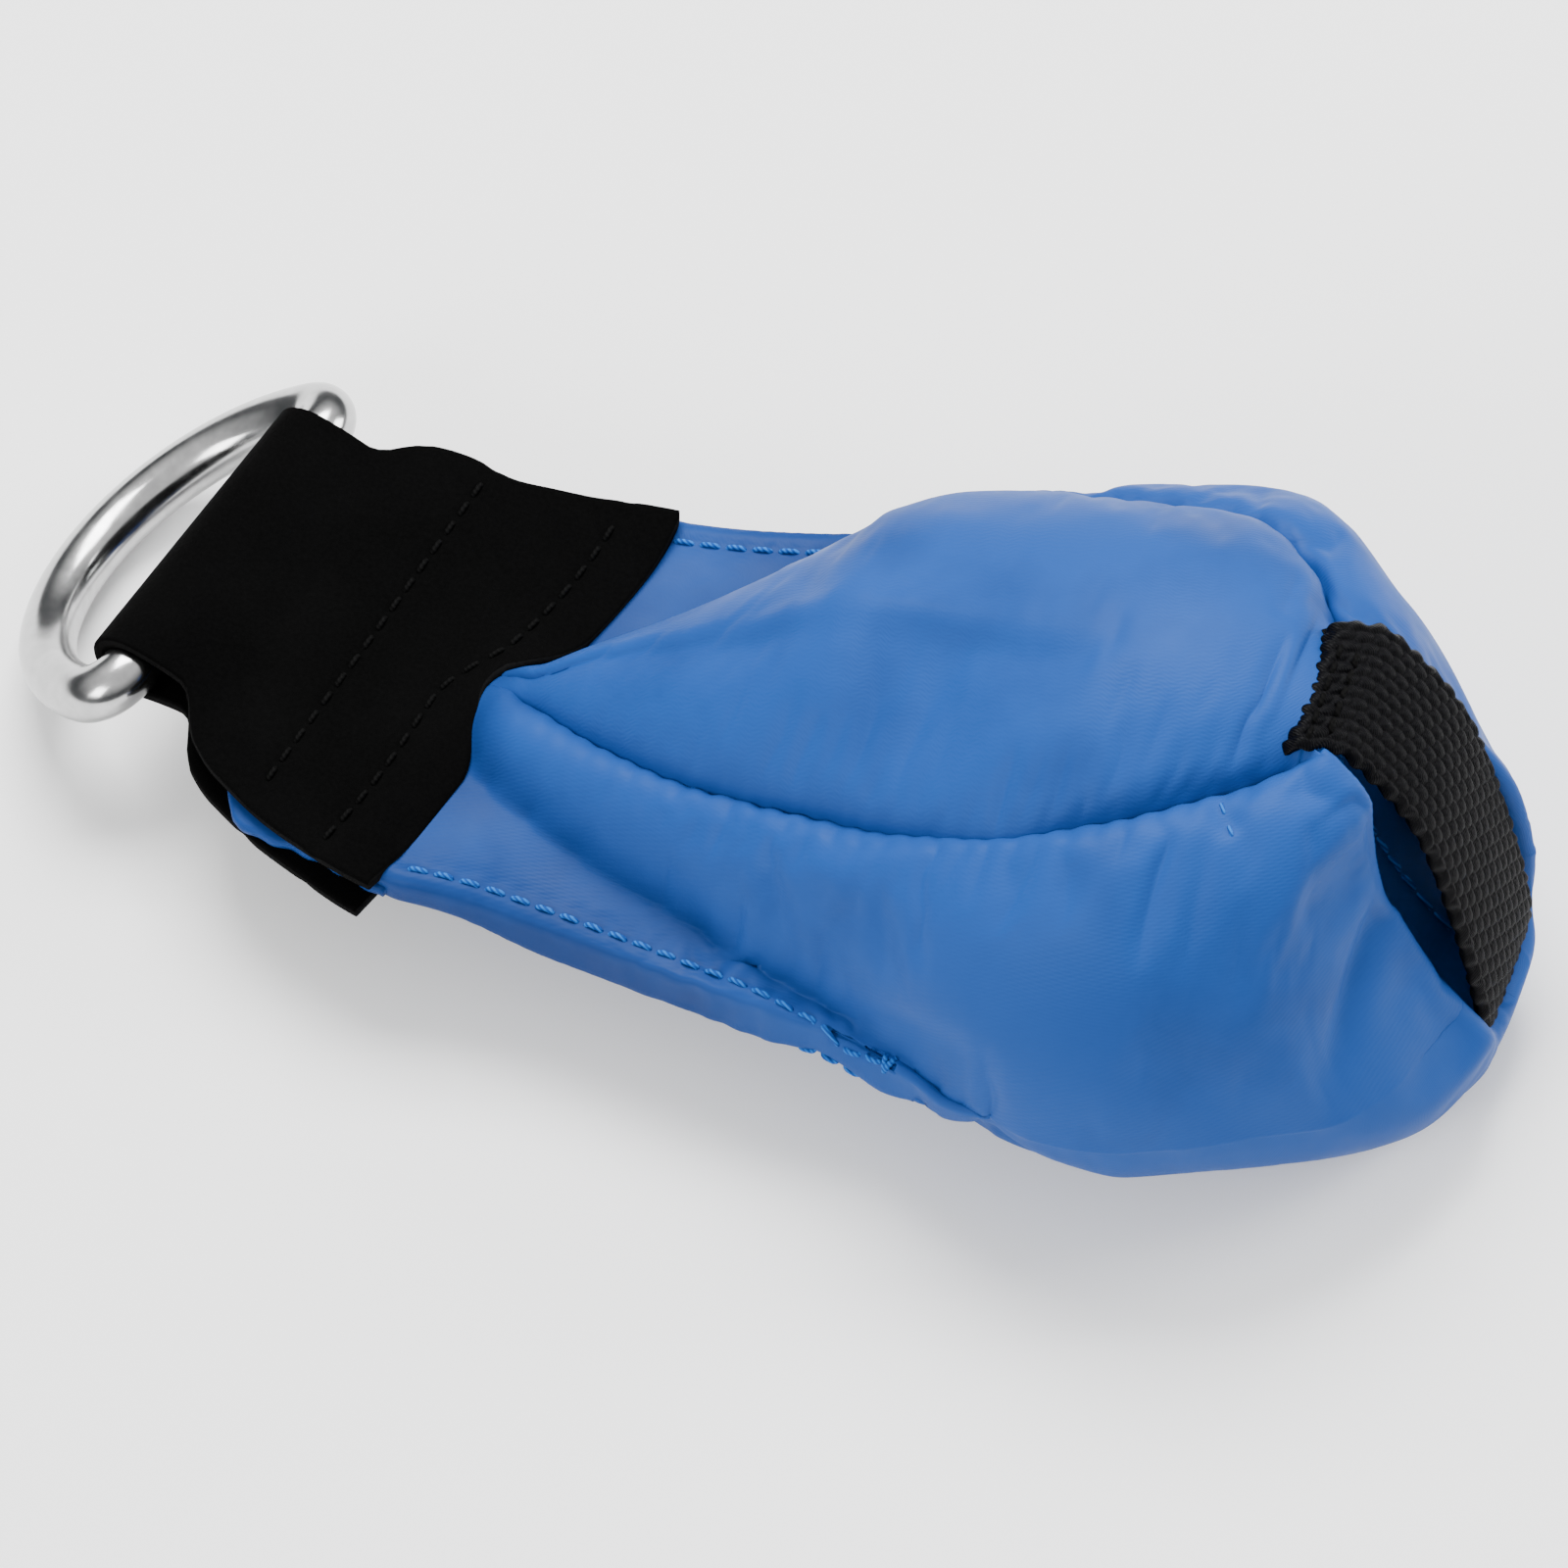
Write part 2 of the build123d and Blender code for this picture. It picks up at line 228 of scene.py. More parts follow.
# ---- materials -----------------------------------------------------------------------------
class Nodes:
    """Short names for building one node material."""

    def __init__(self, name):
        self.material = bpy.data.materials.new(name)
        self.material.use_nodes = True
        self.tree = self.material.node_tree
        self.shader = self.tree.nodes["Principled BSDF"]
        self.coords = self.add("ShaderNodeTexCoord").outputs["Object"]

    def add(self, kind, **values):
        node = self.tree.nodes.new(kind)
        for key, value in values.items():
            if key in node.inputs:
                node.inputs[key].default_value = value
            else:
                setattr(node, key, value)
        return node

    def link(self, out, into):
        self.tree.links.new(out, into)

    def noise(self, coords, scale, detail=4.0):
        node = self.add("ShaderNodeTexNoise", Scale=scale, Detail=detail)
        self.link(coords, node.inputs["Vector"])
        return node.outputs["Fac"]

    def wave(self, coords, scale, distortion=0.0, direction="X"):
        node = self.add("ShaderNodeTexWave", Scale=scale, Distortion=distortion)
        node.bands_direction = direction
        self.link(coords, node.inputs["Vector"])
        return node.outputs["Fac"]

    def maths(self, operation, a, b):
        node = self.add("ShaderNodeMath", operation=operation)
        for socket, value in zip(node.inputs, (a, b)):
            if isinstance(value, (int, float)):
                socket.default_value = value
            else:
                self.link(value, socket)
        return node.outputs[0]

    def ramp(self, fac, low, high, start=0.3, end=0.7):
        node = self.add("ShaderNodeValToRGB")
        node.color_ramp.elements[0].position = start
        node.color_ramp.elements[0].color = low
        node.color_ramp.elements[1].position = end
        node.color_ramp.elements[1].color = high
        self.link(fac, node.inputs["Fac"])
        return node.outputs["Color"]

    def mix(self, a, share_a, b, share_b):
        return self.maths("ADD", self.maths("MULTIPLY", a, share_a), self.maths("MULTIPLY", b, share_b))

    def fade(self, value, start, end):
        """1 before start, 0 after end, smooth between them."""
        node = self.add("ShaderNodeMapRange", interpolation_type="SMOOTHSTEP")
        for socket, limit in zip(list(node.inputs)[1:5], (start, end, 1.0, 0.0)):
            socket.default_value = limit
        self.link(value, node.inputs["Value"])
        return node.outputs[0]

    def colour(self, *ramp):
        self.link(self.ramp(*ramp), self.shader.inputs["Base Color"])

    def bump(self, height, strength, distance):
        node = self.add("ShaderNodeBump", Strength=strength, Distance=distance)
        self.link(height, node.inputs["Height"])
        self.link(node.outputs["Normal"], self.shader.inputs["Normal"])

    def set(self, **values):
        for key, value in values.items():
            self.shader.inputs[key.replace("_", " ")].default_value = value


def grey(value):
    return (value, value, value, 1.0)


def steel_material():
    """Tumbled stainless bar: near mirror with a fine uneven haze."""
    n = Nodes("ring_steel")
    haze = n.noise(n.coords, 900.0)
    n.set(Metallic=1.0)
    n.colour(haze, grey(0.40), grey(0.47))
    n.link(n.ramp(n.noise(n.coords, 320.0, 6.0), grey(0.15), grey(0.25)), n.shader.inputs["Roughness"])
    n.bump(haze, 0.05, 0.0001)
    return n.material


def suede_material(name, shade):
    """Napped synthetic suede: matt, with a faint soft bloom and a fibrous surface."""
    n = Nodes(name)
    fibre = n.noise(n.coords, 2600.0, 8.0)
    patches = n.noise(n.coords, 90.0, 3.0)
    mixed = n.mix(fibre, 0.5, patches, 0.5)
    n.colour(mixed, grey(shade * 0.6), grey(shade * 1.5))
    n.set(Roughness=0.95, Specular_IOR_Level=0.02)
    n.bump(fibre, 0.35, 0.00025)
    return n.material


def nylon_material():
    """Blue coated nylon: fine twill under a semi-matt film, a little uneven in tone, with painted shade on
    the low cloth towards the neck.
    """
    n = Nodes("nylon_blue")
    cloth = n.add("ShaderNodeUVMap", uv_map="cloth").outputs["UV"]
    turned = n.add("ShaderNodeMapping")
    turned.inputs["Rotation"].default_value = (0.0, 0.0, math.radians(63))
    n.link(cloth, turned.inputs["Vector"])
    twill = n.wave(turned.outputs["Vector"], 0.62, 0.6)
    weft = n.wave(cloth, 0.9, 0.4, "Y")
    weave = n.mix(twill, 0.6, weft, 0.4)
    tone = n.noise(n.coords, 55.0, 5.0)
    split = n.add("ShaderNodeSeparateXYZ")
    n.link(n.coords, split.inputs[0])
    # Painted shade: darkens the low cloth towards the neck, where the drooping flange gets less light.
    low = n.fade(split.outputs["Z"], 0.013, 0.024)
    toward_neck = n.fade(split.outputs["X"], -0.035, -0.005)
    painted_shade = n.maths("MULTIPLY", low, toward_neck)
    shade = n.maths("SUBTRACT", tone, n.maths("MULTIPLY", painted_shade, 0.45))
    n.colour(shade, (0.0035, 0.026, 0.125, 1), (0.0095, 0.055, 0.235, 1), 0.0, 0.5)
    n.link(n.ramp(n.noise(n.coords, 140.0), grey(0.46), grey(0.58)), n.shader.inputs["Roughness"])
    n.set(Specular_IOR_Level=0.09)
    creases = n.maths("MULTIPLY", n.noise(n.coords, 420.0, 6.0), 1.2)
    n.bump(n.maths("ADD", weave, creases), 0.16, 0.00008)
    return n.material


def thread_material(name, low, high):
    """Bonded sewing thread, with the plies of its twist."""
    n = Nodes(name)
    ply = n.wave(n.coords, 900.0, 1.5, "DIAGONAL")
    n.colour(ply, low, high)
    n.set(Roughness=0.75, Specular_IOR_Level=0.06)
    n.bump(ply, 0.4, 0.0001)
    return n.material


def webbing_material():
    """Black polyester webbing: each yarn is a bundle of fine filaments with a dull sheen."""
    n = Nodes("webbing_black")
    cloth = n.add("ShaderNodeUVMap", uv_map="cloth").outputs["UV"]
    filament = n.wave(cloth, 2.4, 2.0, "DIAGONAL")
    fuzz = n.noise(n.coords, 1800.0, 6.0)
    mixed = n.mix(filament, 0.6, fuzz, 0.4)
    n.colour(mixed, (0.0003, 0.0003, 0.0006, 1), (0.0012, 0.0012, 0.0022, 1))
    n.set(Roughness=0.5, Specular_IOR_Level=0.07)
    n.bump(mixed, 0.5, 0.00015)
    return n.material


def liner_material():
    """Plain undyed liner cloth."""
    n = Nodes("liner_white")
    weave = n.maths("ADD", n.wave(n.coords, 700.0), n.wave(n.coords, 700.0, 0.0, "Y"))
    n.colour(weave, grey(0.62), grey(0.72))
    n.set(Roughness=0.9)
    n.bump(weave, 0.4, 0.0002)
    return n.material


def shot_material():
    """Packed steel shot, each ball a cell, with painted shade in the gaps between the balls."""
    n = Nodes("shot_steel")
    cells = n.add("ShaderNodeTexVoronoi", Scale=420.0)
    n.link(n.coords, cells.inputs["Vector"])
    # Painted shade: each cell darkens from its middle to its rim, for the gaps between the balls.
    n.colour(cells.outputs["Distance"], grey(0.35), grey(0.08))
    n.set(Metallic=1.0, Roughness=0.4)
    n.bump(n.maths("SUBTRACT", 1.0, cells.outputs["Distance"]), 1.0, 0.001)
    return n.material


STEEL = steel_material()
SUEDE = suede_material("tab_suede", 0.0013)
SUEDE_EDGE = suede_material("tab_cut_edge", 0.004)
NYLON = nylon_material()
BLUE_THREAD = thread_material("thread_blue", (0.006, 0.050, 0.24, 1), (0.016, 0.13, 0.46, 1))
BLACK_THREAD = thread_material("thread_black", grey(0.0005), grey(0.0018))
WEBBING = webbing_material()
LINER = liner_material()
SHOT = shot_material()


def neck_place(points):
    """Local (along the neck, across it, up) to the CAD frame. Zero is the bar's centre."""
    points = np.asarray(points, float)
    return BAR + points[..., 0:1] * NECK_T + points[..., 1:2] * NECK_W + points[..., 2:3] * UP


# ---- D-ring --------------------------------------------------------------------------------
def make_d_ring():
    """Straight bar, tight corners and a half-round bow, swept from one round bar."""
    reach = math.sqrt((BOW_RADIUS - RING_CORNER) ** 2 - RING_CORNER ** 2)
    turn = math.atan2(RING_CORNER, reach)
    path = [(0.0, y) for y in np.linspace(-reach, reach, 40)[:-1]]
    path += [(-RING_CORNER * (1 - math.cos(a)), reach + RING_CORNER * math.sin(a))
             for a in np.linspace(0, math.pi / 2 + turn, 24)[:-1]]
    path += [(-BOW_RADIUS * math.sin(a), BOW_RADIUS * math.cos(a))
             for a in np.linspace(turn, math.pi - turn, 130)[:-1]]
    path += [(-RING_CORNER * (1 - math.cos(a)), -reach - RING_CORNER * math.sin(a))
             for a in np.linspace(math.pi / 2 + turn, 0, 24)[:-1]]
    local = [(x * math.cos(RING_DROOP), y, x * math.sin(RING_DROOP)) for x, y in path]
    points, faces = tube(neck_place(local), BAR_RADIUS, 40, closed=True)
    ring = mesh_object("d_ring_bar", points, faces, [STEEL])
    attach(ring, "ring")
    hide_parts("d_ring")


# ---- tab -----------------------------------------------------------------------------------
TAB_FAR_EDGE = ((-5, 15.9), (0, 15.9), (5.5, 15.9), (6.5, 16.2), (7.5, 17.0), (9, 18.8), (11, 19.9),
                (15.5, 20.6), (18, 20.7), (22.6, 21.9), (26.4, 22.9), (30.5, 24.6), (36, 26.3))
TAB_NEAR_EDGE = ((-5, -15.9), (0, -15.9), (5.5, -15.9), (6.5, -16.2), (7.5, -17.1), (9, -19.2),
                 (11, -21.0), (14.2, -22.8), (20.5, -24.2), (28.2, -25.2), (36, -25.4))
TAB_FRONT_END = ((-26, 33.2), (-17.4, 34.1), (-10.8, 34.1), (-4.5, 31.7), (-0.8, 30.4), (1.9, 31.2),
                 (3.6, 33.0), (8.7, 35.2), (18.2, 35.7), (24.5, 35.0), (27, 33.6))
TAB_BACK_END = ((-26, 32.4), (-12, 33.6), (0, 33.9), (12, 33.6), (27, 33.2))

# each stitch row's name, distance from the bar, bow and reach across the tab
TAB_ROWS = (("ring_side", 16.8, 0.9, (-20.5, 18.5)), ("pouch_side", 26.8, 0.0, (-23.0, 21.5)))


def tab_height(front, d, across):
    """Mid-surface height of a tab layer over the neck's middle plane."""
    middle = TAB_INNER + TAB_THICKNESS / 2
    z = middle + 0.35 * ripple(d / 9.0, across / 8.0, 11 if front else 12) * smoothstep(8, 20, d)
    if front:
        lobe = np.exp(-((across - 0.5) / 6.0) ** 2) * smoothstep(24, 34, d)
        corners = smoothstep(17, 26, np.abs(across)) * smoothstep(22, 34, d)
        return z + 2.6 * lobe + 0.7 * corners
    return -(z + 0.3 * smoothstep(17, 26, np.abs(across)) * smoothstep(20, 34, d))


def tab_profile():
    """Radius of the fold round the bar, the angle where the slopes leave it, and that point."""
    radius = BAR_RADIUS + BAR_CLEARANCE + TAB_THICKNESS / 2
    middle = TAB_INNER + TAB_THICKNESS / 2
    distance = math.hypot(TAB_CLOSES, middle)
    lean = math.atan2(middle, TAB_CLOSES) + math.acos(radius / distance)
    tangent = (radius * math.cos(lean), radius * math.sin(lean))
    return radius, lean, tangent


def make_ring_tab():
    """Folded strip with real thickness, cut edges and the dents of its stitch rows."""
    radius, lean, tangent = tab_profile()
    across_count = 64
    flat_rows, slope_rows, arc_rows = 52, 12, 22
    shares = np.sin(np.linspace(-math.pi / 2, math.pi / 2, across_count))
    rows = []
    spec = [("front", k) for k in np.linspace(1, 0, flat_rows)]
    spec += [("front_slope", k) for k in np.linspace(1, 0, slope_rows)[1:]]
    spec += [("arc", k) for k in np.linspace(0, 1, arc_rows)[1:-1]]
    spec += [("back_slope", k) for k in np.linspace(0, 1, slope_rows)[:-1]]
    spec += [("back", k) for k in np.linspace(0, 1, flat_rows)]
    for part, k in spec:
        front = part.startswith("front")
        if part in ("front", "back"):
            guess = TAB_CLOSES + k * 24
            for _ in range(3):
                near = curve_through(TAB_NEAR_EDGE, guess)
                far = curve_through(TAB_FAR_EDGE, guess)
                across = near + (far - near) * (shares + 1) / 2
                end = curve_through(TAB_FRONT_END if front else TAB_BACK_END, across)
                guess = TAB_CLOSES + k * (end - TAB_CLOSES)
            d = guess
            z = tab_height(front, d, across)
        elif part.endswith("slope"):
            sign = 1 if front else -1
            d = tangent[0] + k * (TAB_CLOSES - tangent[0]) + 0 * shares
            z = sign * (tangent[1] + k * (TAB_INNER + TAB_THICKNESS / 2 - tangent[1])) + 0 * shares
        else:
            angle = lean + k * (2 * math.pi - 2 * lean)
            d = radius * math.cos(angle) + 0 * shares
            z = radius * math.sin(angle) + 0 * shares
        near = curve_through(TAB_NEAR_EDGE, d)
        far = curve_through(TAB_FAR_EDGE, d)
        across = near + (far - near) * (shares + 1) / 2
        if not front and part != "arc":
            across = across - 0.9 * smoothstep(7, 11, d) * smoothstep(-5, -20, across)
        across = across + 0.18 * ripple(d / 3.0, shares * 0 + 1.0, 21) * np.abs(shares) ** 6
        rows.append(np.stack([d, across, z], axis=1))
    middle = np.array(rows)
    along = np.gradient(middle, axis=0)
    side = np.gradient(middle, axis=1)
    normal = np.cross(along, side)
    normal /= np.linalg.norm(normal, axis=2)[..., None]
    thickness = np.full(middle.shape[:2], TAB_THICKNESS / 2)
    rounding = np.minimum(1.0, 0.55 + 1.2 * (1 - np.abs(shares)) / 0.02)
    thickness *= rounding[None, :]
    outer = middle + normal * thickness[..., None]
    inner = middle - normal * thickness[..., None]
    if np.dot(outer[0, across_count // 2] - middle[0, across_count // 2], [0, 0, 1]) < 0:
        outer, inner = inner, outer
    for _, row_d, bend, _ in TAB_ROWS:
        centre = row_line(row_d, bend, outer[..., 1])
        dent = 0.38 * np.exp(-((outer[..., 0] - centre) / 0.75) ** 2)
        beat = 0.75 + 0.25 * np.cos(2 * math.pi * outer[..., 1] / STITCH_PITCH)
        flat = (np.abs(middle[..., 2]) < 6) & (outer[..., 0] > TAB_CLOSES)
        outer[..., 2] -= np.sign(middle[..., 2]) * dent * beat * flat
    points = np.concatenate([outer.reshape(-1, 3), inner.reshape(-1, 3)])
    skins, rim = slab_faces(len(middle), across_count)
    kind = [0] * len(skins) + [1] * len(rim)
    tab = mesh_object("ring_tab_strip", neck_place(points), skins + rim, [SUEDE, SUEDE_EDGE],
                      face_material=kind)
    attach(tab, "neck")
    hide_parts("ring_tab")
    return tab


def row_line(d, bend, across):
    """Distance from the bar of a hand-guided stitch row across the tab."""
    across = np.asarray(across, float)
    if bend:
        return d + bend * (1 - across / 18.0)
    return d + 3.0 * smoothstep(-4, 5, across) - 0.4 * np.cos(across / 5)


# ---- pouch shape ---------------------------------------------------------------------------
# Distance s runs along the pouch from the neck's fold line.
BULGE = {
    "near": ((-6, -3.0), (-3, -6.0), (0, -8.6), (4, -10.8), (12, -14.2), (24, -18.2), (37, -24.2),
             (52, -30.4), (61, -31.6), (66, -31.0), (72, -28.2), (79.5, -24.4), (87, -20.0), (91, -16.2),
             (95, -8), (98.2, -2.0)),
    "far": ((-6, 1.6), (-3, 2.8), (0, 4.2), (4, 7.4), (12, 14.8), (19, 21.4), (24, 25.6), (29, 29.4),
            (37, 32.2), (52, 35.4), (65, 36.8), (77, 28.2), (87, 18.8), (94.5, 13.0), (98.2, 9.0)),
    "low": ((-6, 14.4), (0, 13.0), (4, 11.6), (12, 8.8), (24, 4), (37, 0.8), (52, -0.6), (65, -0.8),
            (77, -0.6), (87, 0.2), (94.5, 2.0), (98.2, 8.0)),
    "high": ((-6, 16.0), (-3.5, 19.8), (-1.5, 22.9), (4, 26.6), (12, 31.0), (19, 35.0), (24, 38.0),
             (29, 40.6), (37, 43.2), (52, 47.6), (65, 49.3), (77, 48), (87, 41), (94.5, 33.5),
             (98.2, 25.0)),
}
NECK_NEAR = ((-6, -23.3), (0, -23.2), (8, -22.6), (22, -23.9), (37, -27.0), (46, -30.0), (52, -31.2),
             (60, -30), (72, -18), (80, 0), (99, 0))
NECK_FAR = ((-6, 25.2), (0, 25.7), (22, 29.2), (37, 32.6), (48, 35.0), (52, 35.6), (60, 34), (72, 20),
            (80, 0), (99, 0))
NEAR_SEAM = ((-6, -0.4), (-2, -1.0), (2, -2.4), (6, -4.4), (12, -6.7), (18, -8.8), (33, -12.5),
             (42, -14.2), (50, -15.0), (60, -12.6), (70, -7.0), (76, -3.0), (84, -1.8), (98.2, 0.5))
FAR_SEAM = ((-6, 1.2), (0, 3.4), (4, 6.4), (12, 13.4), (24, 23.0), (38, 27.4), (50, 26.8), (62, 26.0),
            (70, 21.0), (76, 12.6), (84, 9.0), (98.2, 2.5))
NECK_START, POUCH_RUN = -5.0, 103.2     # s at the first section, and the run from it to the last
END_ROWS = 14                           # rows that close the tail's end
CLOTH_FRAMES, CLOTH_MOVE = 20, 1.4      # the simulation's length, and the most it moves a point
TAIL_SEAM_START = 75.5
VALLEY_TOP, VALLEY_CROWN, VALLEY_LOW = (19.1, 51.3), (24.4, 24.0), (36.1, 7.7)
LOOP_Y = 4.5


def circle_through(a, b, c):
    """Centre and radius of the circle through three (x, z) points."""
    ax, ay, bx, by, cx, cy = *a, *b, *c
    d = 2 * (ax * (by - cy) + bx * (cy - ay) + cx * (ay - by))
    a2, b2, c2 = ax ** 2 + ay ** 2, bx ** 2 + by ** 2, cx ** 2 + cy ** 2
    ux = (a2 * (by - cy) + b2 * (cy - ay) + c2 * (ay - by)) / d
    uy = (a2 * (cx - bx) + b2 * (ax - cx) + c2 * (bx - ax)) / d
    return ux, uy, math.hypot(ax - ux, ay - uy)


VALLEY_CIRCLE = circle_through(VALLEY_TOP, VALLEY_CROWN, VALLEY_LOW)


def valley_x(y, z):
    """The tail's end wall: a hollow under the loop, its rim on the near side, open far lobe."""
    cx, cz, r = VALLEY_CIRCLE
    inside = np.clip(r ** 2 - (z - cz) ** 2, 0, None)
    wall = cx - np.sqrt(inside)
    ledge = 12.0 * smoothstep(13.0, 3.0, z)
    high = smoothstep(30, 44, z)
    rim = 6.8 * smoothstep(-2.2, -4.8, y - 1.3 * high) - 0.40 * np.clip(-y - 6.0, 0, None)
    lobe = 16.0 * smoothstep(10.5, 15.0, y - 3.2 * high)
    return soft_min(wall + ledge + rim + lobe, 37.6 + 0.15 * np.asarray(z), 1.5)


def section_frame(s):
    """Spine point and sideways direction of the section at distance s."""
    turn = NECK_YAW * (1 - smoothstep(0, 46, s))
    sideways = np.stack([np.sin(turn), np.cos(turn), 0 * turn], axis=-1)
    back = np.minimum(s, 0.0)
    spine = np.stack([HINGE[0] + np.maximum(s, 0) + back * NECK_T[0],
                      HINGE[1] + back * NECK_T[1], 0 * s], axis=-1)
    return spine, sideways


def groove(offset, depth, width):
    """Sharp-bottomed seam valley with rounded shoulders."""
    distance = np.abs(offset)
    return depth * (0.72 * np.exp(-distance / width) + 0.28 * np.exp(-(distance / (3.2 * width)) ** 2))


def pouch_grid(rows, per_segment):
    """Closed sections from the neck to the tail, with a column on each of the four seams.

    Returns the points, the cloth coordinates, each column's segment and each row's s."""
    lead = np.linspace(0, 1, rows)
    s = NECK_START + POUCH_RUN * (0.85 * lead + 0.15 * np.sin(lead * math.pi / 2))
    near_b, far_b = curve_through(BULGE["near"], s), curve_through(BULGE["far"], s)
    low, high = curve_through(BULGE["low"], s), curve_through(BULGE["high"], s)
    near_edge = soft_min(curve_through(NECK_NEAR, s), near_b - 0.1, 0.8)
    far_edge = soft_max(curve_through(NECK_FAR, s), far_b + 0.1, 0.8)
    middle = (near_edge + far_edge) / 2
    half = (far_edge - near_edge) / 2
    seam_n, seam_f = curve_through(NEAR_SEAM, s), curve_through(FAR_SEAM, s)
    angle_n = np.arccos(np.clip((seam_n - middle) / half, -0.999, 0.999))
    angle_f = np.arccos(np.clip((seam_f - middle) / half, -0.999, 0.999))

    def spread(count, sharp_start, sharp_end):
        t = np.linspace(0, 1, count + 1)
        if sharp_start and sharp_end:
            return 0.5 - 0.5 * np.cos(math.pi * t) * 0.7 - 0.5 * (1 - 2 * t) * 0.3
        if sharp_start:
            return 0.6 * (1 - np.cos(math.pi * t / 2)) + 0.4 * t
        return 0.6 * np.sin(math.pi * t / 2) + 0.4 * t

    side, top = per_segment
    pi = math.pi
    edges = [(np.full(rows, pi), angle_n, side, False, True), (angle_n, angle_f, top, True, True),
             (angle_f, np.zeros(rows), side, True, False), (np.zeros(rows), -angle_f, side, False, True),
             (-angle_f, -angle_n, top, True, True), (-angle_n, np.full(rows, -pi), side, True, False)]
    columns, segments = [], []
    for k, (start, end, count, sharp_start, sharp_end) in enumerate(edges):
        for share in spread(count, sharp_start, sharp_end)[:-1]:
            columns.append(start + (end - start) * share)
            segments.append(k)
    angle = np.array(columns).T
    y = middle[:, None] + half[:, None] * np.cos(angle)
    upper = np.sin(angle) >= -1e-9
    S = np.broadcast_to(s[:, None], y.shape)

    bulge_mid, bulge_half = ((near_b + far_b) / 2)[:, None], ((far_b - near_b) / 2)[:, None]
    share = np.clip((y - bulge_mid) / bulge_half, -1, 1)
    body_mid = ((high + low) / 2)[:, None]
    rise = ((high - low) / 2)[:, None] * np.sqrt(np.clip(1 - share ** 2, 0, 1))
    body_mid = NECK_Z + (body_mid - NECK_Z) * (0.35 + 0.65 * np.sqrt(np.clip(1 - share ** 2, 0, 1)))
    edge_gap = np.minimum(y - near_edge[:, None], far_edge[:, None] - y)
    gather = 0.55 + 0.16 * np.cos(2 * math.pi * S / STITCH_PITCH)
    flat = 0.95 - gather * np.exp(-((edge_gap - EDGE_ROLL) / 1.0) ** 2)
    flat = flat + 0.35 * np.exp(-((edge_gap - EDGE_ROLL / 2) / 1.2) ** 2)
    flat = flat * (0.60 + 0.40 * smoothstep(-4, 2, S))
    flat = flat * np.sqrt(np.clip(edge_gap / 1.1, 0, 1) * (2 - np.clip(edge_gap / 1.1, 0, 1)))
    taper = smoothstep(58, 44, S)
    centre = NECK_Z + (body_mid - NECK_Z) * smoothstep(10, 60, S)
    droop = 3.4 * smoothstep(-7, -25, y) * smoothstep(1, 14, S) * smoothstep(62, 46, S)
    centre = centre - droop
    plate_up = centre + flat * taper
    plate_down = centre - flat * taper
    blend = np.where(y > middle[:, None], 1.1, 5.5)
    up = soft_max(plate_up, body_mid + rise - blend * 0.25 * taper, blend * taper + 0.05)
    down = soft_min(plate_down, body_mid - rise + blend * 0.25 * taper, blend * taper + 0.05)
    z = np.where(upper, up, down)

    n_off, f_off = y - seam_n[:, None], y - seam_f[:, None]
    on = smoothstep(-4.5, 2, S) * smoothstep(79, 73, S)
    pucker = 1 + 0.05 * np.cos(2 * math.pi * S / STITCH_PITCH)
    near_depth = 4.2 + 1.6 * smoothstep(2, 12, S) * smoothstep(48, 30, S)
    far_depth = 3.4 + 1.8 * smoothstep(64, 70, S)
    pinch = groove(n_off, 1.0, 1.3) * near_depth * on * pucker
    pinch = pinch + groove(f_off, 1.0, 1.4) * far_depth * on * smoothstep(2, 16, S)
    lip = np.clip(n_off / 1.3, 0, None)
    y = y - np.where(upper, 0.6 * lip * np.exp(1 - lip) * on, 0.0)
    z = np.where(upper, z - pinch, z + 0.6 * pinch)
    z = soft_max(z, 0.0, 1.2) - 0.3 * smoothstep(1.5, 0.0, z)
    z = np.maximum(z, FLOOR_GAP)

    spine, sideways = section_frame(s)
    points = spine[:, None, :] + sideways[:, None, :] * y[..., None]
    points[..., 2] = z
    wall = valley_x(points[..., 1], points[..., 2])
    points[..., 0] = np.where(S > 60, soft_min(points[..., 0], wall, 2.2), points[..., 0])

    # the end wall: the last section closes onto its own middle line
    mirror = (-np.arange(points.shape[1])) % points.shape[1]
    last = points[-1]
    seam_z = (last[:, 2] + last[mirror, 2]) / 2
    extra = []
    turns = np.linspace(0, math.pi / 2, END_ROWS + 1)[1:]
    for turn in turns:
        row = last.copy()
        row[:, 2] = seam_z + (last[:, 2] - seam_z) * math.cos(turn)
        reach = HINGE[0] + s[-1] + 0.8 * math.sin(turn)
        row[:, 0] = soft_min(np.full(len(row), reach), valley_x(row[:, 1], row[:, 2]), 2.2)
        extra.append(row)
    points = np.concatenate([points, np.array(extra)])
    s = np.concatenate([s, s[-1] + 8.0 * np.sin(turns)])

    step = np.linalg.norm(np.diff(points, axis=1, append=points[:, :1]), axis=2)
    cloth_v = np.cumsum(step, axis=1) - step
    cloth_u = np.broadcast_to(s[:, None], cloth_v.shape)
    return points, np.stack([cloth_u, cloth_v], axis=2), np.array(segments), s


# start, end, width and depth of each of the slack cloth's creases
FOLDS = (
    ((-22, -27, 17), (0, -29, 26), 2.6, 1.5),
    ((-14, -29, 14), (10, -30, 10), 2.4, 1.3),
    ((13, -6, 50), (15, -13, 45), 1.2, 1.3),
    ((10, -13, 46), (9, -24, 38), 1.0, 0.35),
    ((13, -12, 46), (14, -25, 36), 0.9, 0.35),
    ((16, -10, 46), (19, -23, 34), 1.1, 0.4),
    ((28.5, -4.5, 33), (24, -22, 18), 2.0, 1.5),
    ((10, -31, 30), (24, -24, 24), 4.0, 0.9),
    ((20, -4, 48), (24, -16, 36), 2.0, 0.8),
    ((-40, 12, 26), (-22, 24, 34), 3.0, 0.5),
    ((-30, -19, 24), (-12, -24, 32), 4.0, 0.7),
)


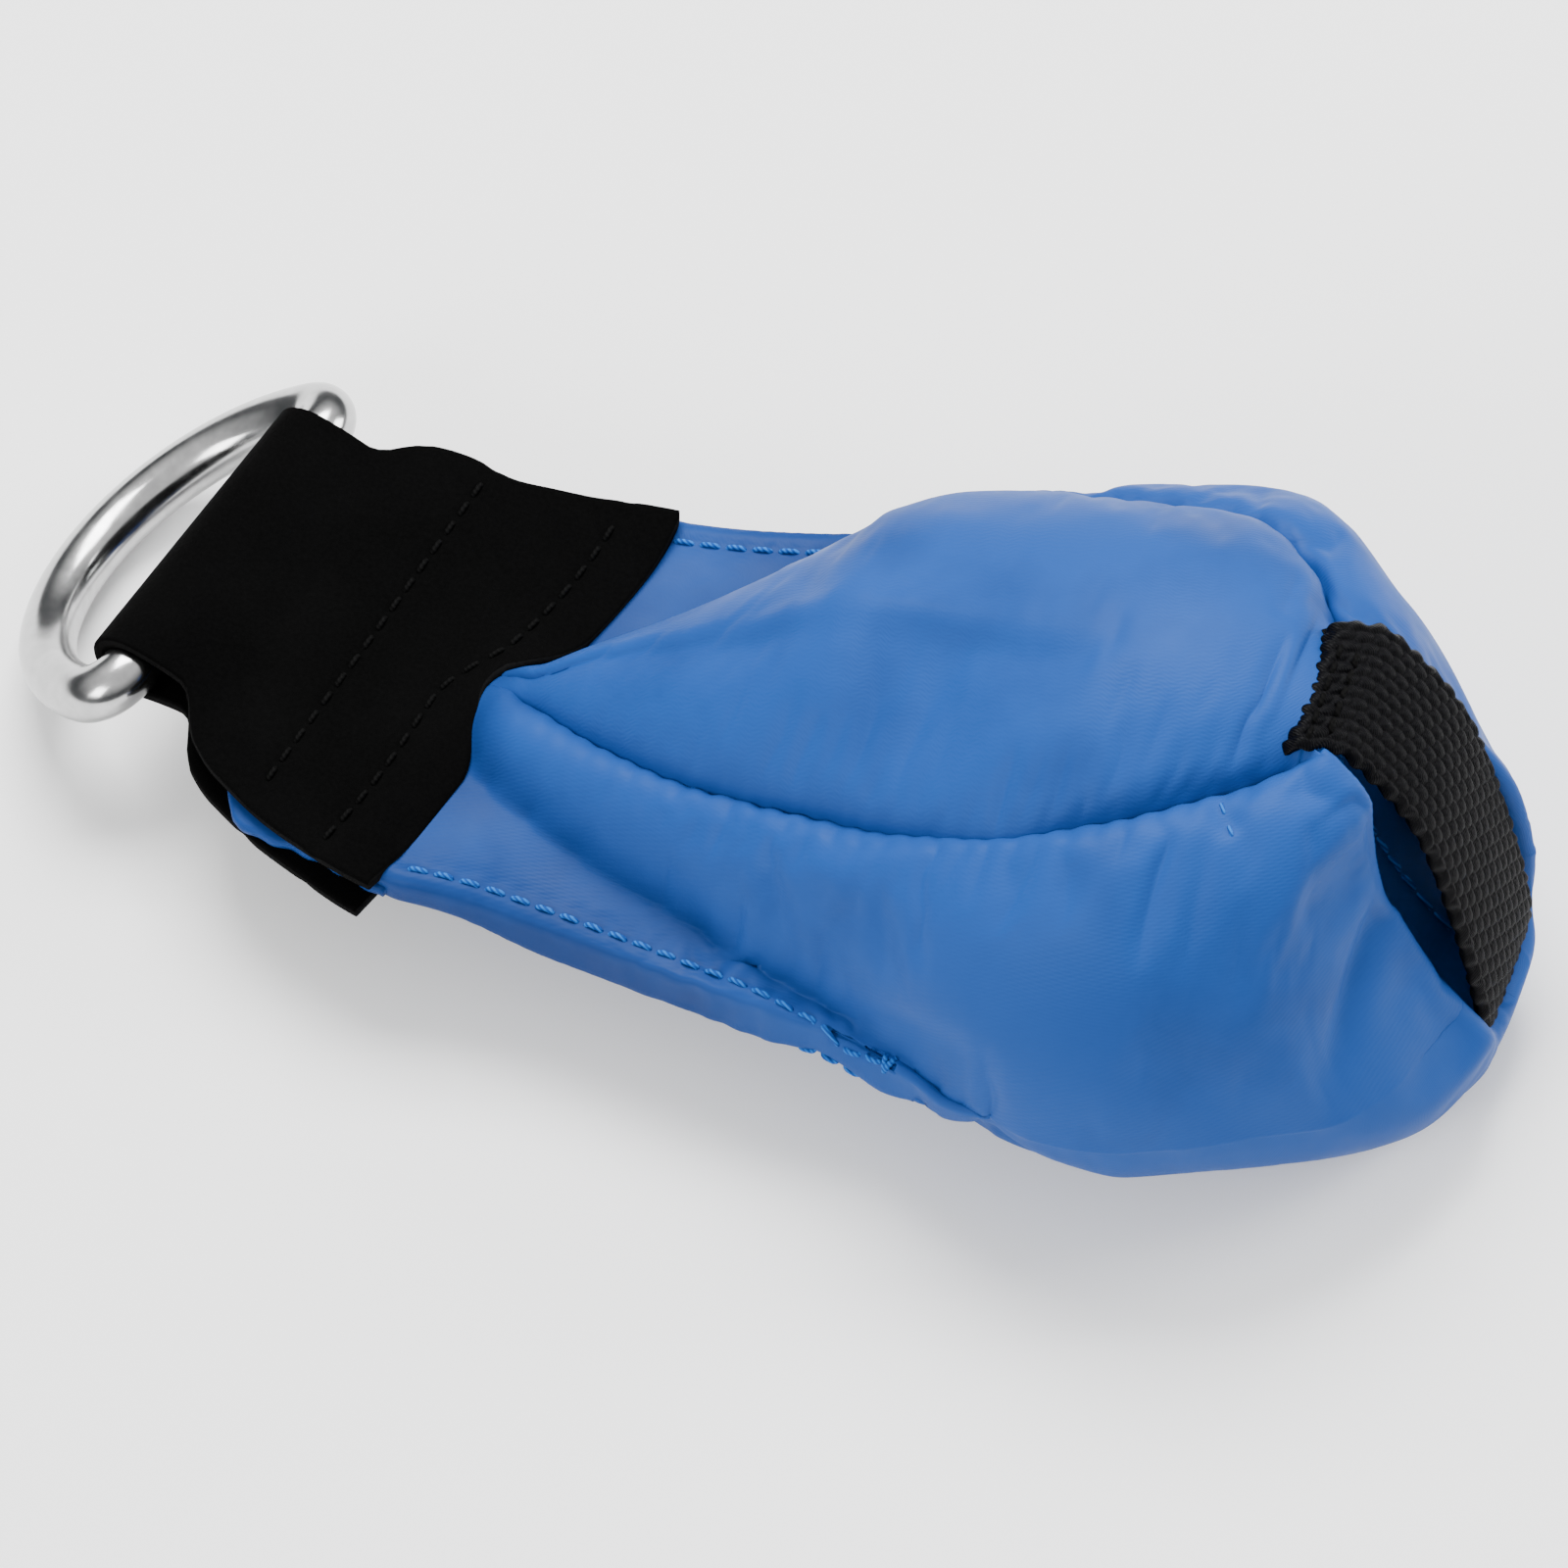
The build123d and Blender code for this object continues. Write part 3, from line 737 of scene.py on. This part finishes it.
def crease(points, start, end, width, depth):
    """How far a straight soft crease between two points moves each point."""
    a, b = np.array(start, float), np.array(end, float)
    run = b - a
    length = np.linalg.norm(run)
    rel = points - a
    share = np.clip(np.sum(rel * run, axis=2) / length ** 2, 0, 1)
    gap = np.linalg.norm(rel - share[..., None] * run, axis=2)
    fade = smoothstep(0, 0.2, share) * smoothstep(1, 0.75, share)
    return -depth * np.exp(-(gap / width) ** 2) * fade


def surface_detail(points, s):
    """Broad dents, folds and puckers of the slack cloth, moved along the surface's normal."""
    along = np.gradient(points, axis=0)
    around = np.roll(points, -1, 1) - np.roll(points, 1, 1)
    normal = np.cross(along, around)
    normal /= np.linalg.norm(normal, axis=2)[..., None] + 1e-9
    outward = points - points.mean(axis=1, keepdims=True)
    flip = np.sign(np.sum(normal * outward, axis=2).mean())
    normal *= flip
    x, y, z = points[..., 0], points[..., 1], points[..., 2]
    S = np.broadcast_to(s[:, None], x.shape)
    full = smoothstep(16, 45, S) * smoothstep(0.2, 3.0, z)
    move = 0.45 * ripple(x / 13.0, y / 12.0 + z / 15.0, 5) * full
    for start, end, width, depth in FOLDS:
        move += crease(points, start, end, width, depth)
    move = move * smoothstep(0, 0.8, z) * smoothstep(98, 92, S)
    return points + normal * move[..., None]


def relax_with_cloth(points, s, segments):
    """Inflates the sewn cloth a little between its seams, then applies the result."""
    rows, cols = points.shape[:2]
    flat = points.reshape(-1, 3)
    faces = grid_faces(rows, cols, wrap=True)
    obj = mesh_object("pouch_sim", flat, faces, [])
    first = np.array([k for k in range(cols) if k == 0 or segments[k] != segments[k - 1]])
    weight = np.zeros((rows, cols))
    for c in first:
        if segments[c] not in (0, 3):
            weight[:, c] = 1.0
            for step, value in ((1, 0.55), (2, 0.2)):
                weight[:, (c + step) % cols] = np.maximum(weight[:, (c + step) % cols], value)
                weight[:, (c - step) % cols] = np.maximum(weight[:, (c - step) % cols], value)
    weight[s < 6, :] = 1.0
    weight = np.maximum(weight, smoothstep(30, 8, s)[:, None] * 0.9)
    weight[-3:, :] = 1.0
    hollow = (s[:, None] > 72) & (points[..., 1] > -3.5) & (points[..., 1] < 13.5)
    weight = np.where(hollow, 1.0, weight)
    z = points[..., 2]
    weight = np.maximum(weight, smoothstep(1.5, 0.3, z))
    group = obj.vertex_groups.new(name="sewn")
    for index, value in enumerate(weight.ravel()):
        if value > 0:
            group.add([index], float(value), "REPLACE")
    cloth = obj.modifiers.new("cloth", "CLOTH")
    settings = dict(quality=6, mass=0.15, tension_stiffness=18, compression_stiffness=12, shear_stiffness=6,
                    bending_stiffness=0.4, use_pressure=True, uniform_pressure_force=4.0, shrink_min=-0.03,
                    vertex_group_mass="sewn")
    for key, value in settings.items():
        setattr(cloth.settings, key, value)
    cloth.settings.effector_weights.gravity = 0
    cloth.collision_settings.use_collision = False
    scene = bpy.context.scene
    for number in range(1, CLOTH_FRAMES + 1):
        scene.frame_set(number)
    apply_modifiers(obj)
    moved = np.empty(len(flat) * 3)
    obj.data.vertices.foreach_get("co", moved)
    moved = moved.reshape(-1, 3) / MM
    scene.frame_set(1)
    bpy.data.objects.remove(obj)
    shift = moved - flat
    length = np.linalg.norm(shift, axis=1)
    scale = np.where(length > CLOTH_MOVE, CLOTH_MOVE / np.maximum(length, 1e-9), 1.0)
    result = flat + shift * scale[:, None]
    return result.reshape(rows, cols, 3)


def make_pouch():
    """The pouch's points, cloth coordinates, segments and each row's s, creased and relaxed."""
    rows, side, top = ((150, 26, 28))
    points, cloth, segments, s = pouch_grid(rows, (side, top))
    points = surface_detail(points, s)
    points[:-END_ROWS] = relax_with_cloth(points[:-END_ROWS], s[:-END_ROWS], segments)
    points[..., 2] = np.maximum(points[..., 2], FLOOR_GAP)
    points[..., 0] = np.minimum(points[..., 0], cad_box[1][0] / MM - 0.02)
    return points, cloth, segments, s


POUCH, CLOTH, SEGMENTS, STATION = make_pouch()


first_tail_row = int(np.searchsorted(STATION, TAIL_SEAM_START))
segment_middle = {k: np.flatnonzero(SEGMENTS == k)[[0, -1]].mean() for k in (1, 4)}


def gore_at(i, j):
    """Gore of one cell. Past the loop's sewn end the top and bottom belong to the side gores."""
    k = SEGMENTS[j]
    if k in (0, 5):
        return "near"
    if k in (2, 3):
        return "far"
    if i < first_tail_row:
        return "top" if k == 1 else "bottom"
    on_near = j < segment_middle[k] if k == 1 else j >= segment_middle[k]
    return "near" if on_near else "far"


def cut_panel(name, gore):
    """One gore's cells of the pouch grid, welded along the tail's end, with the cloth's thickness."""
    rows, cols = POUCH.shape[:2]
    last = (rows - 1) * cols
    weld = {last + j: last + (cols - j) for j in range(cols // 2 + 1, cols)}
    faces = []
    for i in range(rows - 1):
        for j in range(cols):
            if gore_at(i, j) == gore:
                b = (j + 1) % cols
                face = (i * cols + j, i * cols + b, (i + 1) * cols + b, (i + 1) * cols + j)
                faces.append(tuple(weld.get(v, v) for v in face))
    used = sorted({v for face in faces for v in face})
    index = {v: k for k, v in enumerate(used)}
    faces = [tuple(index[v] for v in face) for face in faces]
    points = POUCH.reshape(-1, 3)[used]
    uv = CLOTH.reshape(-1, 2)[used]
    obj = mesh_object(name, points, faces, [NYLON], uv=uv)
    subdivide = obj.modifiers.new("smooth", "SUBSURF")
    subdivide.levels = subdivide.render_levels = 1
    solid = obj.modifiers.new("cloth", "SOLIDIFY")
    solid.thickness = FABRIC * MM
    solid.offset = -1.0
    apply_modifiers(obj)
    return obj


def across_the_fold(obj):
    """Bakes a piece's transform into its mesh."""
    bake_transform(obj)


surface_parts = []
for name, gore, node in (("near_gore", "near", "near_panel"), ("far_gore", "far", "far_panel"),
                         ("top_gore", "top", "top_panel"), ("bottom_gore", "bottom", "bottom_panel")):
    panel = cut_panel(name, gore)
    surface_parts.append(panel)
    across_the_fold(panel)
    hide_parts(node)


def joined_tree(objects):
    """One search tree over several meshes, in millimetres."""
    points, faces = [], []
    for obj in objects:
        base = len(points)
        points += [tuple(v.co / MM) for v in obj.data.vertices]
        faces += [tuple(base + i for i in p.vertices) for p in obj.data.polygons]
    return BVHTree.FromPolygons(points, faces)


SKIN = joined_tree(surface_parts)


def skin_at(x, y, from_above=True):
    """Point and outward normal of the pouch's outside over or under a plan point, or None."""
    up = 1 if from_above else -1
    point, normal, _, _ = SKIN.ray_cast(Vector((x, y, 120 if from_above else -40)), Vector((0, 0, -up)))
    if point is None:
        return None
    return np.array(point), np.array(normal) * (up if normal.z > 0 else -up)


# ---- stitches ------------------------------------------------------------------------------
def stitch_arch(a, b, normal, radius, lift):
    """One stitch: thread that comes up at a, lies on the cloth and goes down at b."""
    a, b, normal = (np.asarray(v, float) for v in (a, b, normal))
    path = []
    for t in np.linspace(0, 1, 9):
        height = lift * (1 - (2 * t - 1) ** 4) - 0.25 * (abs(2 * t - 1) ** 6)
        path.append(a + (b - a) * t + normal * height)
    return tube(path, radius, 8)


def thread_object(name, stitches, material, node, body):
    """Joins a row's stitches into one piece."""
    points, faces = [], []
    for stitch_points, stitch_faces in stitches:
        base = len(points)
        points += list(stitch_points)
        faces += [tuple(base + i for i in face) for face in stitch_faces]
    obj = mesh_object(name, points, faces, [material])
    if body == "fold":
        across_the_fold(obj)
    else:
        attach(obj, body)
    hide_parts(node)
    return obj


def stitches_along(line, radius, lift, from_above=True):
    """Stitches one pitch apart along a plan line of (x, y) points, lying on the cloth."""
    line = np.asarray(line, float)
    gaps = np.linalg.norm(np.diff(line, axis=0), axis=1)
    reach = np.concatenate([[0], np.cumsum(gaps)])
    rows = []
    for k in range(int(reach[-1] // STITCH_PITCH)):
        ends = [[np.interp(t, reach, line[:, i]) for i in (0, 1)]
                for t in (k * STITCH_PITCH, (k + STITCH_SHARE) * STITCH_PITCH)]
        spots = [skin_at(*end, from_above) for end in ends]
        if all(spot is not None for spot in spots):
            rows.append(stitch_arch(spots[0][0], spots[1][0], spots[0][1], radius, lift))
    return rows


def stitch_between(tree, origins, toward, normal, radius, lift):
    """A list with the stitch between the two points that rays from the origins hit, or an empty one."""
    hits = [tree.ray_cast(Vector(origin), Vector(toward))[0] for origin in origins]
    if any(hit is None for hit in hits):
        return []
    return [stitch_arch(hits[0], hits[1], normal, radius, lift)]


def plan_line(edge_knots, inset, start, end):
    """Plan points of a line that keeps an inset from the neck's edge."""
    s = np.linspace(start, end, 60)
    spine, sideways = section_frame(s)
    across = curve_through(edge_knots, s) + inset
    return (spine + sideways * across[:, None])[:, :2]


def make_edge_rows():
    """Top-stitching along the neck's folded edges, with a back-tack at each row's end."""
    for label, knots, inset, stop in (("near", NECK_NEAR, 1.4, 44.0), ("far", NECK_FAR, -2.4, 27.0)):
        line = plan_line(knots, inset, 0.5, stop)
        rows = stitches_along(line, 0.25, 0.22)
        rows += stitches_along(line, 0.25, 0.22, from_above=False)
        thread_object(f"edge_stitch_{label}", rows, BLUE_THREAD, f"neck_edge_stitch_{label}", "fold")
        heading = line[-1] - line[-4]
        heading /= np.linalg.norm(heading)
        sideways = np.array([-heading[1], heading[0]])
        tacks = []
        for k in range(9):
            along = line[-1] + heading * (k * 0.55 - 4.6)
            swing = sideways * (0.42 if k % 2 else -0.42)
            ends = [skin_at(*(along + swing)), skin_at(*(along - swing + heading * 0.35))]
            flat_here = all(end is not None for end in ends) and np.linalg.norm(ends[0][0] - ends[1][0]) < 1.4
            if flat_here:
                tacks.append(stitch_arch(ends[0][0], ends[1][0], ends[0][1], 0.3, 0.3))
        thread_object(f"backtack_{label}", tacks, BLUE_THREAD, f"neck_backtack_{label}", "pouch")


def make_seam_threads():
    """Stitches at the bottom of each long seam."""
    for label, knots in (("near", NEAR_SEAM), ("far", FAR_SEAM)):
        for face, above in (("top", True), ("bottom", False)):
            line = plan_line(knots, (-0.35 if label == "near" else 0.35) if above else 0.0, 6.0, 74.5)
            rows = stitches_along(line, 0.2, 0.25 if above else 0.0, from_above=above)
            if above and label == "near":
                rows += stitches_along([(13.0, -9.0), (16.4, -14.6)], 0.2, 0.9)
            sink = -0.8 if above else 0.35
            rows = [(np.asarray(p) + [0, 0, sink], f) for p, f in rows]
            thread_object(f"{face}_{label}_seam_stitch", rows, BLUE_THREAD, f"{face}_{label}_seam_thread",
                          "pouch")


def make_tail_seam():
    """Stitches down the valley, under the loop."""
    rows = []
    for z in np.arange(40.0, 12.0, -STITCH_PITCH):
        origins = [(80, LOOP_Y + 0.01, height) for height in (z, z - 1.8)]
        rows += stitch_between(SKIN, origins, (-1, 0, 0), (1, 0, 0), 0.27, 0.25)
    thread_object("tail_seam_stitch", rows, BLUE_THREAD, "tail_seam_thread", "pouch")


def make_tab_rows(tab):
    """Black stitch rows across both faces of the tab."""
    tree = joined_tree([tab])
    for label, d, bend, reach in TAB_ROWS:
        rows = []
        for up, height in ((1, 60), (-1, -30)):
            for across in np.arange(reach[0], reach[1], STITCH_PITCH):
                spots = [neck_place([float(row_line(d, bend, v)), v, 0.0]) for v in (across, across + 1.6)]
                origins = [(spot[0], spot[1], height) for spot in spots]
                rows += stitch_between(tree, origins, (0, 0, -up), (0, 0, up), 0.26, 0.18)
        thread_object(f"tab_row_{label}", rows, BLACK_THREAD, f"tab_stitch_{label}", "neck")


# ---- neck tongue ---------------------------------------------------------------------------
def make_tongue():
    """Folded end of the neck between the tab's layers, just showing along the near edge."""
    rows, cols = 40, 48
    d = np.linspace(15.2, TAB_REACH - 0.8, rows)
    near = -24.3 - 0.9 * np.exp(-((d - 20) / 4.0) ** 2) + 0.15 * np.sin(d * 1.9)
    near = np.where(d < 17.5, near + (17.5 - d) * 1.1, near)
    far = curve_through(TAB_FAR_EDGE, d) - 0.8
    angle = np.linspace(0, 2 * math.pi, cols, endpoint=False)
    points = []
    for k in range(rows):
        middle, half = (near[k] + far[k]) / 2, (far[k] - near[k]) / 2
        y = middle + half * np.sign(np.cos(angle)) * np.abs(np.cos(angle)) ** 0.6
        z = 0.8 * np.sign(np.sin(angle)) * np.abs(np.sin(angle)) ** 0.25
        points += list(np.stack([np.full(cols, d[k]), y, z], axis=1))
    faces = grid_faces(rows, cols, wrap=True) + end_caps(rows, cols)
    uv = np.array([(p[0], p[1]) for p in points])
    tongue = mesh_object("neck_end", neck_place(points), faces, [NYLON], uv=uv)
    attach(tongue, "neck")
    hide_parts("neck_tongue")


# ---- webbing loop --------------------------------------------------------------------------
LOOP_PATH = ((17.2, 46.2), (18.9, 47.7), (23.5, 44.3), (29.4, 36.6), (33.4, 26.5), (36.4, 16.5),
             (37.3, 11.0), (36.4, 7.2), (33.6, 5.4))
LOOP_WIDTH = 15.0
LOOP_THICKNESS = 1.7


def smooth_path(knots, count):
    """Catmull-Rom curve through the knots, evenly spaced."""
    knots = np.asarray(knots, float)
    padded = np.vstack([2 * knots[0] - knots[1], knots, 2 * knots[-1] - knots[-2]])
    fine = []
    for k in range(1, len(padded) - 2):
        a, b, c, d = padded[k - 1:k + 3]
        for t in np.linspace(0, 1, 40, endpoint=False):
            fine.append(0.5 * (2 * b + (c - a) * t + (2 * a - 5 * b + 4 * c - d) * t * t
                               + (3 * b - 3 * c + d - a) * t ** 3))
    fine.append(knots[-1])
    fine = np.array(fine)
    reach = np.concatenate([[0], np.cumsum(np.linalg.norm(np.diff(fine, axis=0), axis=1))])
    even = np.linspace(0, reach[-1], count)
    return np.stack([np.interp(even, reach, fine[:, i]) for i in range(fine.shape[1])], axis=1), even


def weave_height(u, v):
    """Coarse brick weave: short rounded yarn floats, each column half a step off the next."""
    wale, course = 1.25, 1.75
    column = np.floor(u / wale)
    inside = u / wale - column
    phase = v / course + 0.5 * (column % 2) + 0.30 * np.abs(inside - 0.5)
    float_top = np.abs(np.sin(math.pi * phase)) ** 0.55
    return float_top * np.sin(math.pi * inside) ** 0.5


def make_loop():
    """Webbing strip with woven relief and scalloped selvedges."""
    rows, cols = 330, 101
    path, reach = smooth_path(LOOP_PATH, rows)
    tangent = np.gradient(path, axis=0)
    tangent /= np.linalg.norm(tangent, axis=1)[:, None]
    out = np.stack([-tangent[:, 1], tangent[:, 0]], axis=1)
    out *= np.sign(out[rows // 2, 0])
    across = np.linspace(-LOOP_WIDTH / 2, LOOP_WIDTH / 2, cols)
    points, uv = [], []
    for sign in (1, -1):
        for k in range(rows):
            scallop = 0.28 * np.sin(2 * math.pi * reach[k] / STITCH_PITCH) * smoothstep(1.0, 4.0, reach[k])
            width = 1 + scallop / LOOP_WIDTH * 2 * np.abs(across / (LOOP_WIDTH / 2)) ** 8
            drift = 2.2 * smoothstep(1, 7, reach[k]) - 3.9 * smoothstep(12, 54, reach[k])
            y = LOOP_Y + across * width + drift
            relief = weave_height(across + LOOP_WIDTH / 2 + 0.01, reach[k] + 0.8 * (sign < 0))
            edge = np.clip((LOOP_WIDTH / 2 - np.abs(across)) / 0.7, 0, 1)
            lift = (LOOP_THICKNESS / 2 - 0.45) * np.sqrt(edge * (2 - edge)) + 0.45 * relief * edge
            crown = 0.5 * (1 - (across / (LOOP_WIDTH / 2)) ** 2) * math.sin(math.pi * k / rows)
            offset = sign * lift + crown
            x, z = path[k, :, None] + out[k, :, None] * offset
            points += list(np.stack([x, y, z], axis=1))
            uv += [(reach[k], u) for u in across]
    skins, rim = slab_faces(rows, cols)
    loop = mesh_object("webbing_strip", points, skins + rim, [WEBBING], uv=uv)
    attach(loop, "pouch")
    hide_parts("webbing_loop")
    tree = joined_tree([loop])
    for label, x, z, toward in (("top", 20.0, 60.0, (0, 0, -1)), ("bottom", 60.0, 7.0, (-1, 0, 0))):
        rows_made = []
        for shift in (-0.8, 0.8):
            for y in np.arange(LOOP_Y - 6.2, LOOP_Y + 5.2, 1.9):
                origins = [(x + shift, v, z) if label == "top" else (x, v, z + shift) for v in (y, y + 1.3)]
                rows_made += stitch_between(tree, origins, toward, [-c for c in toward], 0.26, 0.15)
        thread_object(f"loop_tack_{label}_rows", rows_made, BLACK_THREAD, f"loop_tack_{label}", "pouch")


# ---- inside the pouch ----------------------------------------------------------------------
def neighbourhood(values, steps, pick):
    """The picked value among each one's neighbours, up to some steps away."""
    return np.array([pick(values[max(0, k - steps):k + steps + 1]) for k in range(len(values))])


def make_inside():
    """Shot bag and shot, each the pouch's own shape a little further in."""
    for name, node, inset, level, material, slot in (
            ("shot_bag", "inner_bag", 0.8, math.inf, LINER, "liner_white"),
            ("shot", "shot_fill", 1.8, SHOT_LEVEL, SHOT, "shot_steel")):
        sections = []
        for x in np.linspace(-43, 17, 44):
            ys = np.arange(-34, 37.1, 0.5)
            upper = np.array([height_at(x, y, True) for y in ys])
            lower = np.array([height_at(x, y, False) for y in ys])
            top = neighbourhood(upper, 5, np.min) - inset
            bottom = neighbourhood(lower, 5, np.max) + inset
            full = np.where(top - bottom > 2.5)[0]
            if len(full) < 8:
                continue
            across = np.linspace(ys[full[0]], ys[full[-1]], 30)
            high = np.minimum(np.interp(across, ys, top), level)
            down = np.interp(across, ys, bottom)
            high = np.maximum(high, down + 0.5)
            there = np.stack([np.full(30, x), across, high], axis=1)
            back = np.stack([np.full(30, x), across, down], axis=1)[::-1]
            sections.append(np.concatenate([there, back]))
        rows, cols = len(sections), 60
        faces = grid_faces(rows, cols, wrap=True) + end_caps(rows, cols)
        obj = mesh_object(name, np.concatenate(sections), faces, [material])
        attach(obj, "pouch")
        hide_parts(node)


def height_at(x, y, above):
    """Height of the pouch's top or underside at a plan point, or the neck's height outside it."""
    spot = skin_at(x, y, above)
    return NECK_Z if spot is None else spot[0][2]


# ---- stage, light and camera ---------------------------------------------------------------
def make_stage():
    """Pale matt floor just under the pouch."""
    half = 1500.0
    corners = [(x * half, y * half, -0.02) for x, y in ((-1, -1), (1, -1), (1, 1), (-1, 1))]
    floor = mesh_object("floor", corners, [(0, 1, 2, 3)], [])
    n = Nodes("floor_pale")
    n.colour(n.noise(n.coords, 3.0), grey(0.90), grey(0.93))
    n.set(Roughness=0.9, Specular_IOR_Level=0.1, Emission_Color=grey(1.0), Emission_Strength=0.16)
    floor.data.materials.append(n.material)


def area_light(name, place, target, size, power):
    """Rectangular lamp at a place, turned to a target. Places and sizes are in metres."""
    light = bpy.data.lights.new(name, "AREA")
    light.shape = "RECTANGLE"
    light.size, light.size_y = size
    light.energy = power
    obj = bpy.data.objects.new(name, light)
    bpy.context.scene.collection.objects.link(obj)
    obj.location = place
    obj.rotation_euler = (Vector(target) - Vector(place)).to_track_quat("-Z", "Y").to_euler()


def make_light():
    """Softboxes behind, at the near side and at the tail, and a sky darker at the horizon."""
    area_light("key", (-0.20, 0.40, 0.80), (-0.03, 0, 0.02), (0.6, 0.45), 17.0)
    area_light("fill", (-0.35, -0.75, 0.55), (-0.03, 0, 0.02), (0.4, 0.4), 7.0)
    area_light("rim", (0.6, 0.4, 0.4), (0, 0, 0.02), (0.3, 0.4), 5.0)
    world = bpy.data.worlds.new("studio")
    bpy.context.scene.world = world
    world.use_nodes = True
    nodes, links = world.node_tree.nodes, world.node_tree.links
    coords = nodes.new("ShaderNodeTexCoord")
    split = nodes.new("ShaderNodeSeparateXYZ")
    ramp = nodes.new("ShaderNodeValToRGB")
    ramp.color_ramp.elements[0].position = 0.30
    ramp.color_ramp.elements[0].color = (0.10, 0.105, 0.11, 1)
    ramp.color_ramp.elements[1].position = 0.75
    ramp.color_ramp.elements[1].color = (1.0, 1.0, 1.0, 1)
    links.new(coords.outputs["Generated"], split.inputs[0])
    links.new(split.outputs["Z"], ramp.inputs["Fac"])
    links.new(ramp.outputs["Color"], nodes["Background"].inputs["Color"])
    nodes["Background"].inputs["Strength"].default_value = 1.15


def make_camera():
    """Long lens at the three-quarter view from above the pouch's near side."""
    azimuth, elevation, distance, width = math.radians(17.4), math.radians(56), 3.0, 0.1469
    target = Vector((-0.0313, -0.0029, 0.020))
    back = Vector((math.sin(azimuth) * math.cos(elevation), -math.cos(azimuth) * math.cos(elevation),
                   math.sin(elevation)))
    data = bpy.data.cameras.new("camera")
    data.sensor_width = 36.0
    data.lens = 36.0 * distance / width
    data.clip_start = 0.01
    camera = bpy.data.objects.new("camera", data)
    camera.location = target + back * distance
    camera.rotation_euler = (-back).to_track_quat("-Z", "Y").to_euler()
    bpy.context.scene.collection.objects.link(camera)
    bpy.context.scene.camera = camera


make_d_ring()
ring_tab = make_ring_tab()
make_tab_rows(ring_tab)
make_tongue()
make_edge_rows()
make_seam_threads()
make_tail_seam()
make_loop()
make_inside()
make_stage()
make_light()
make_camera()
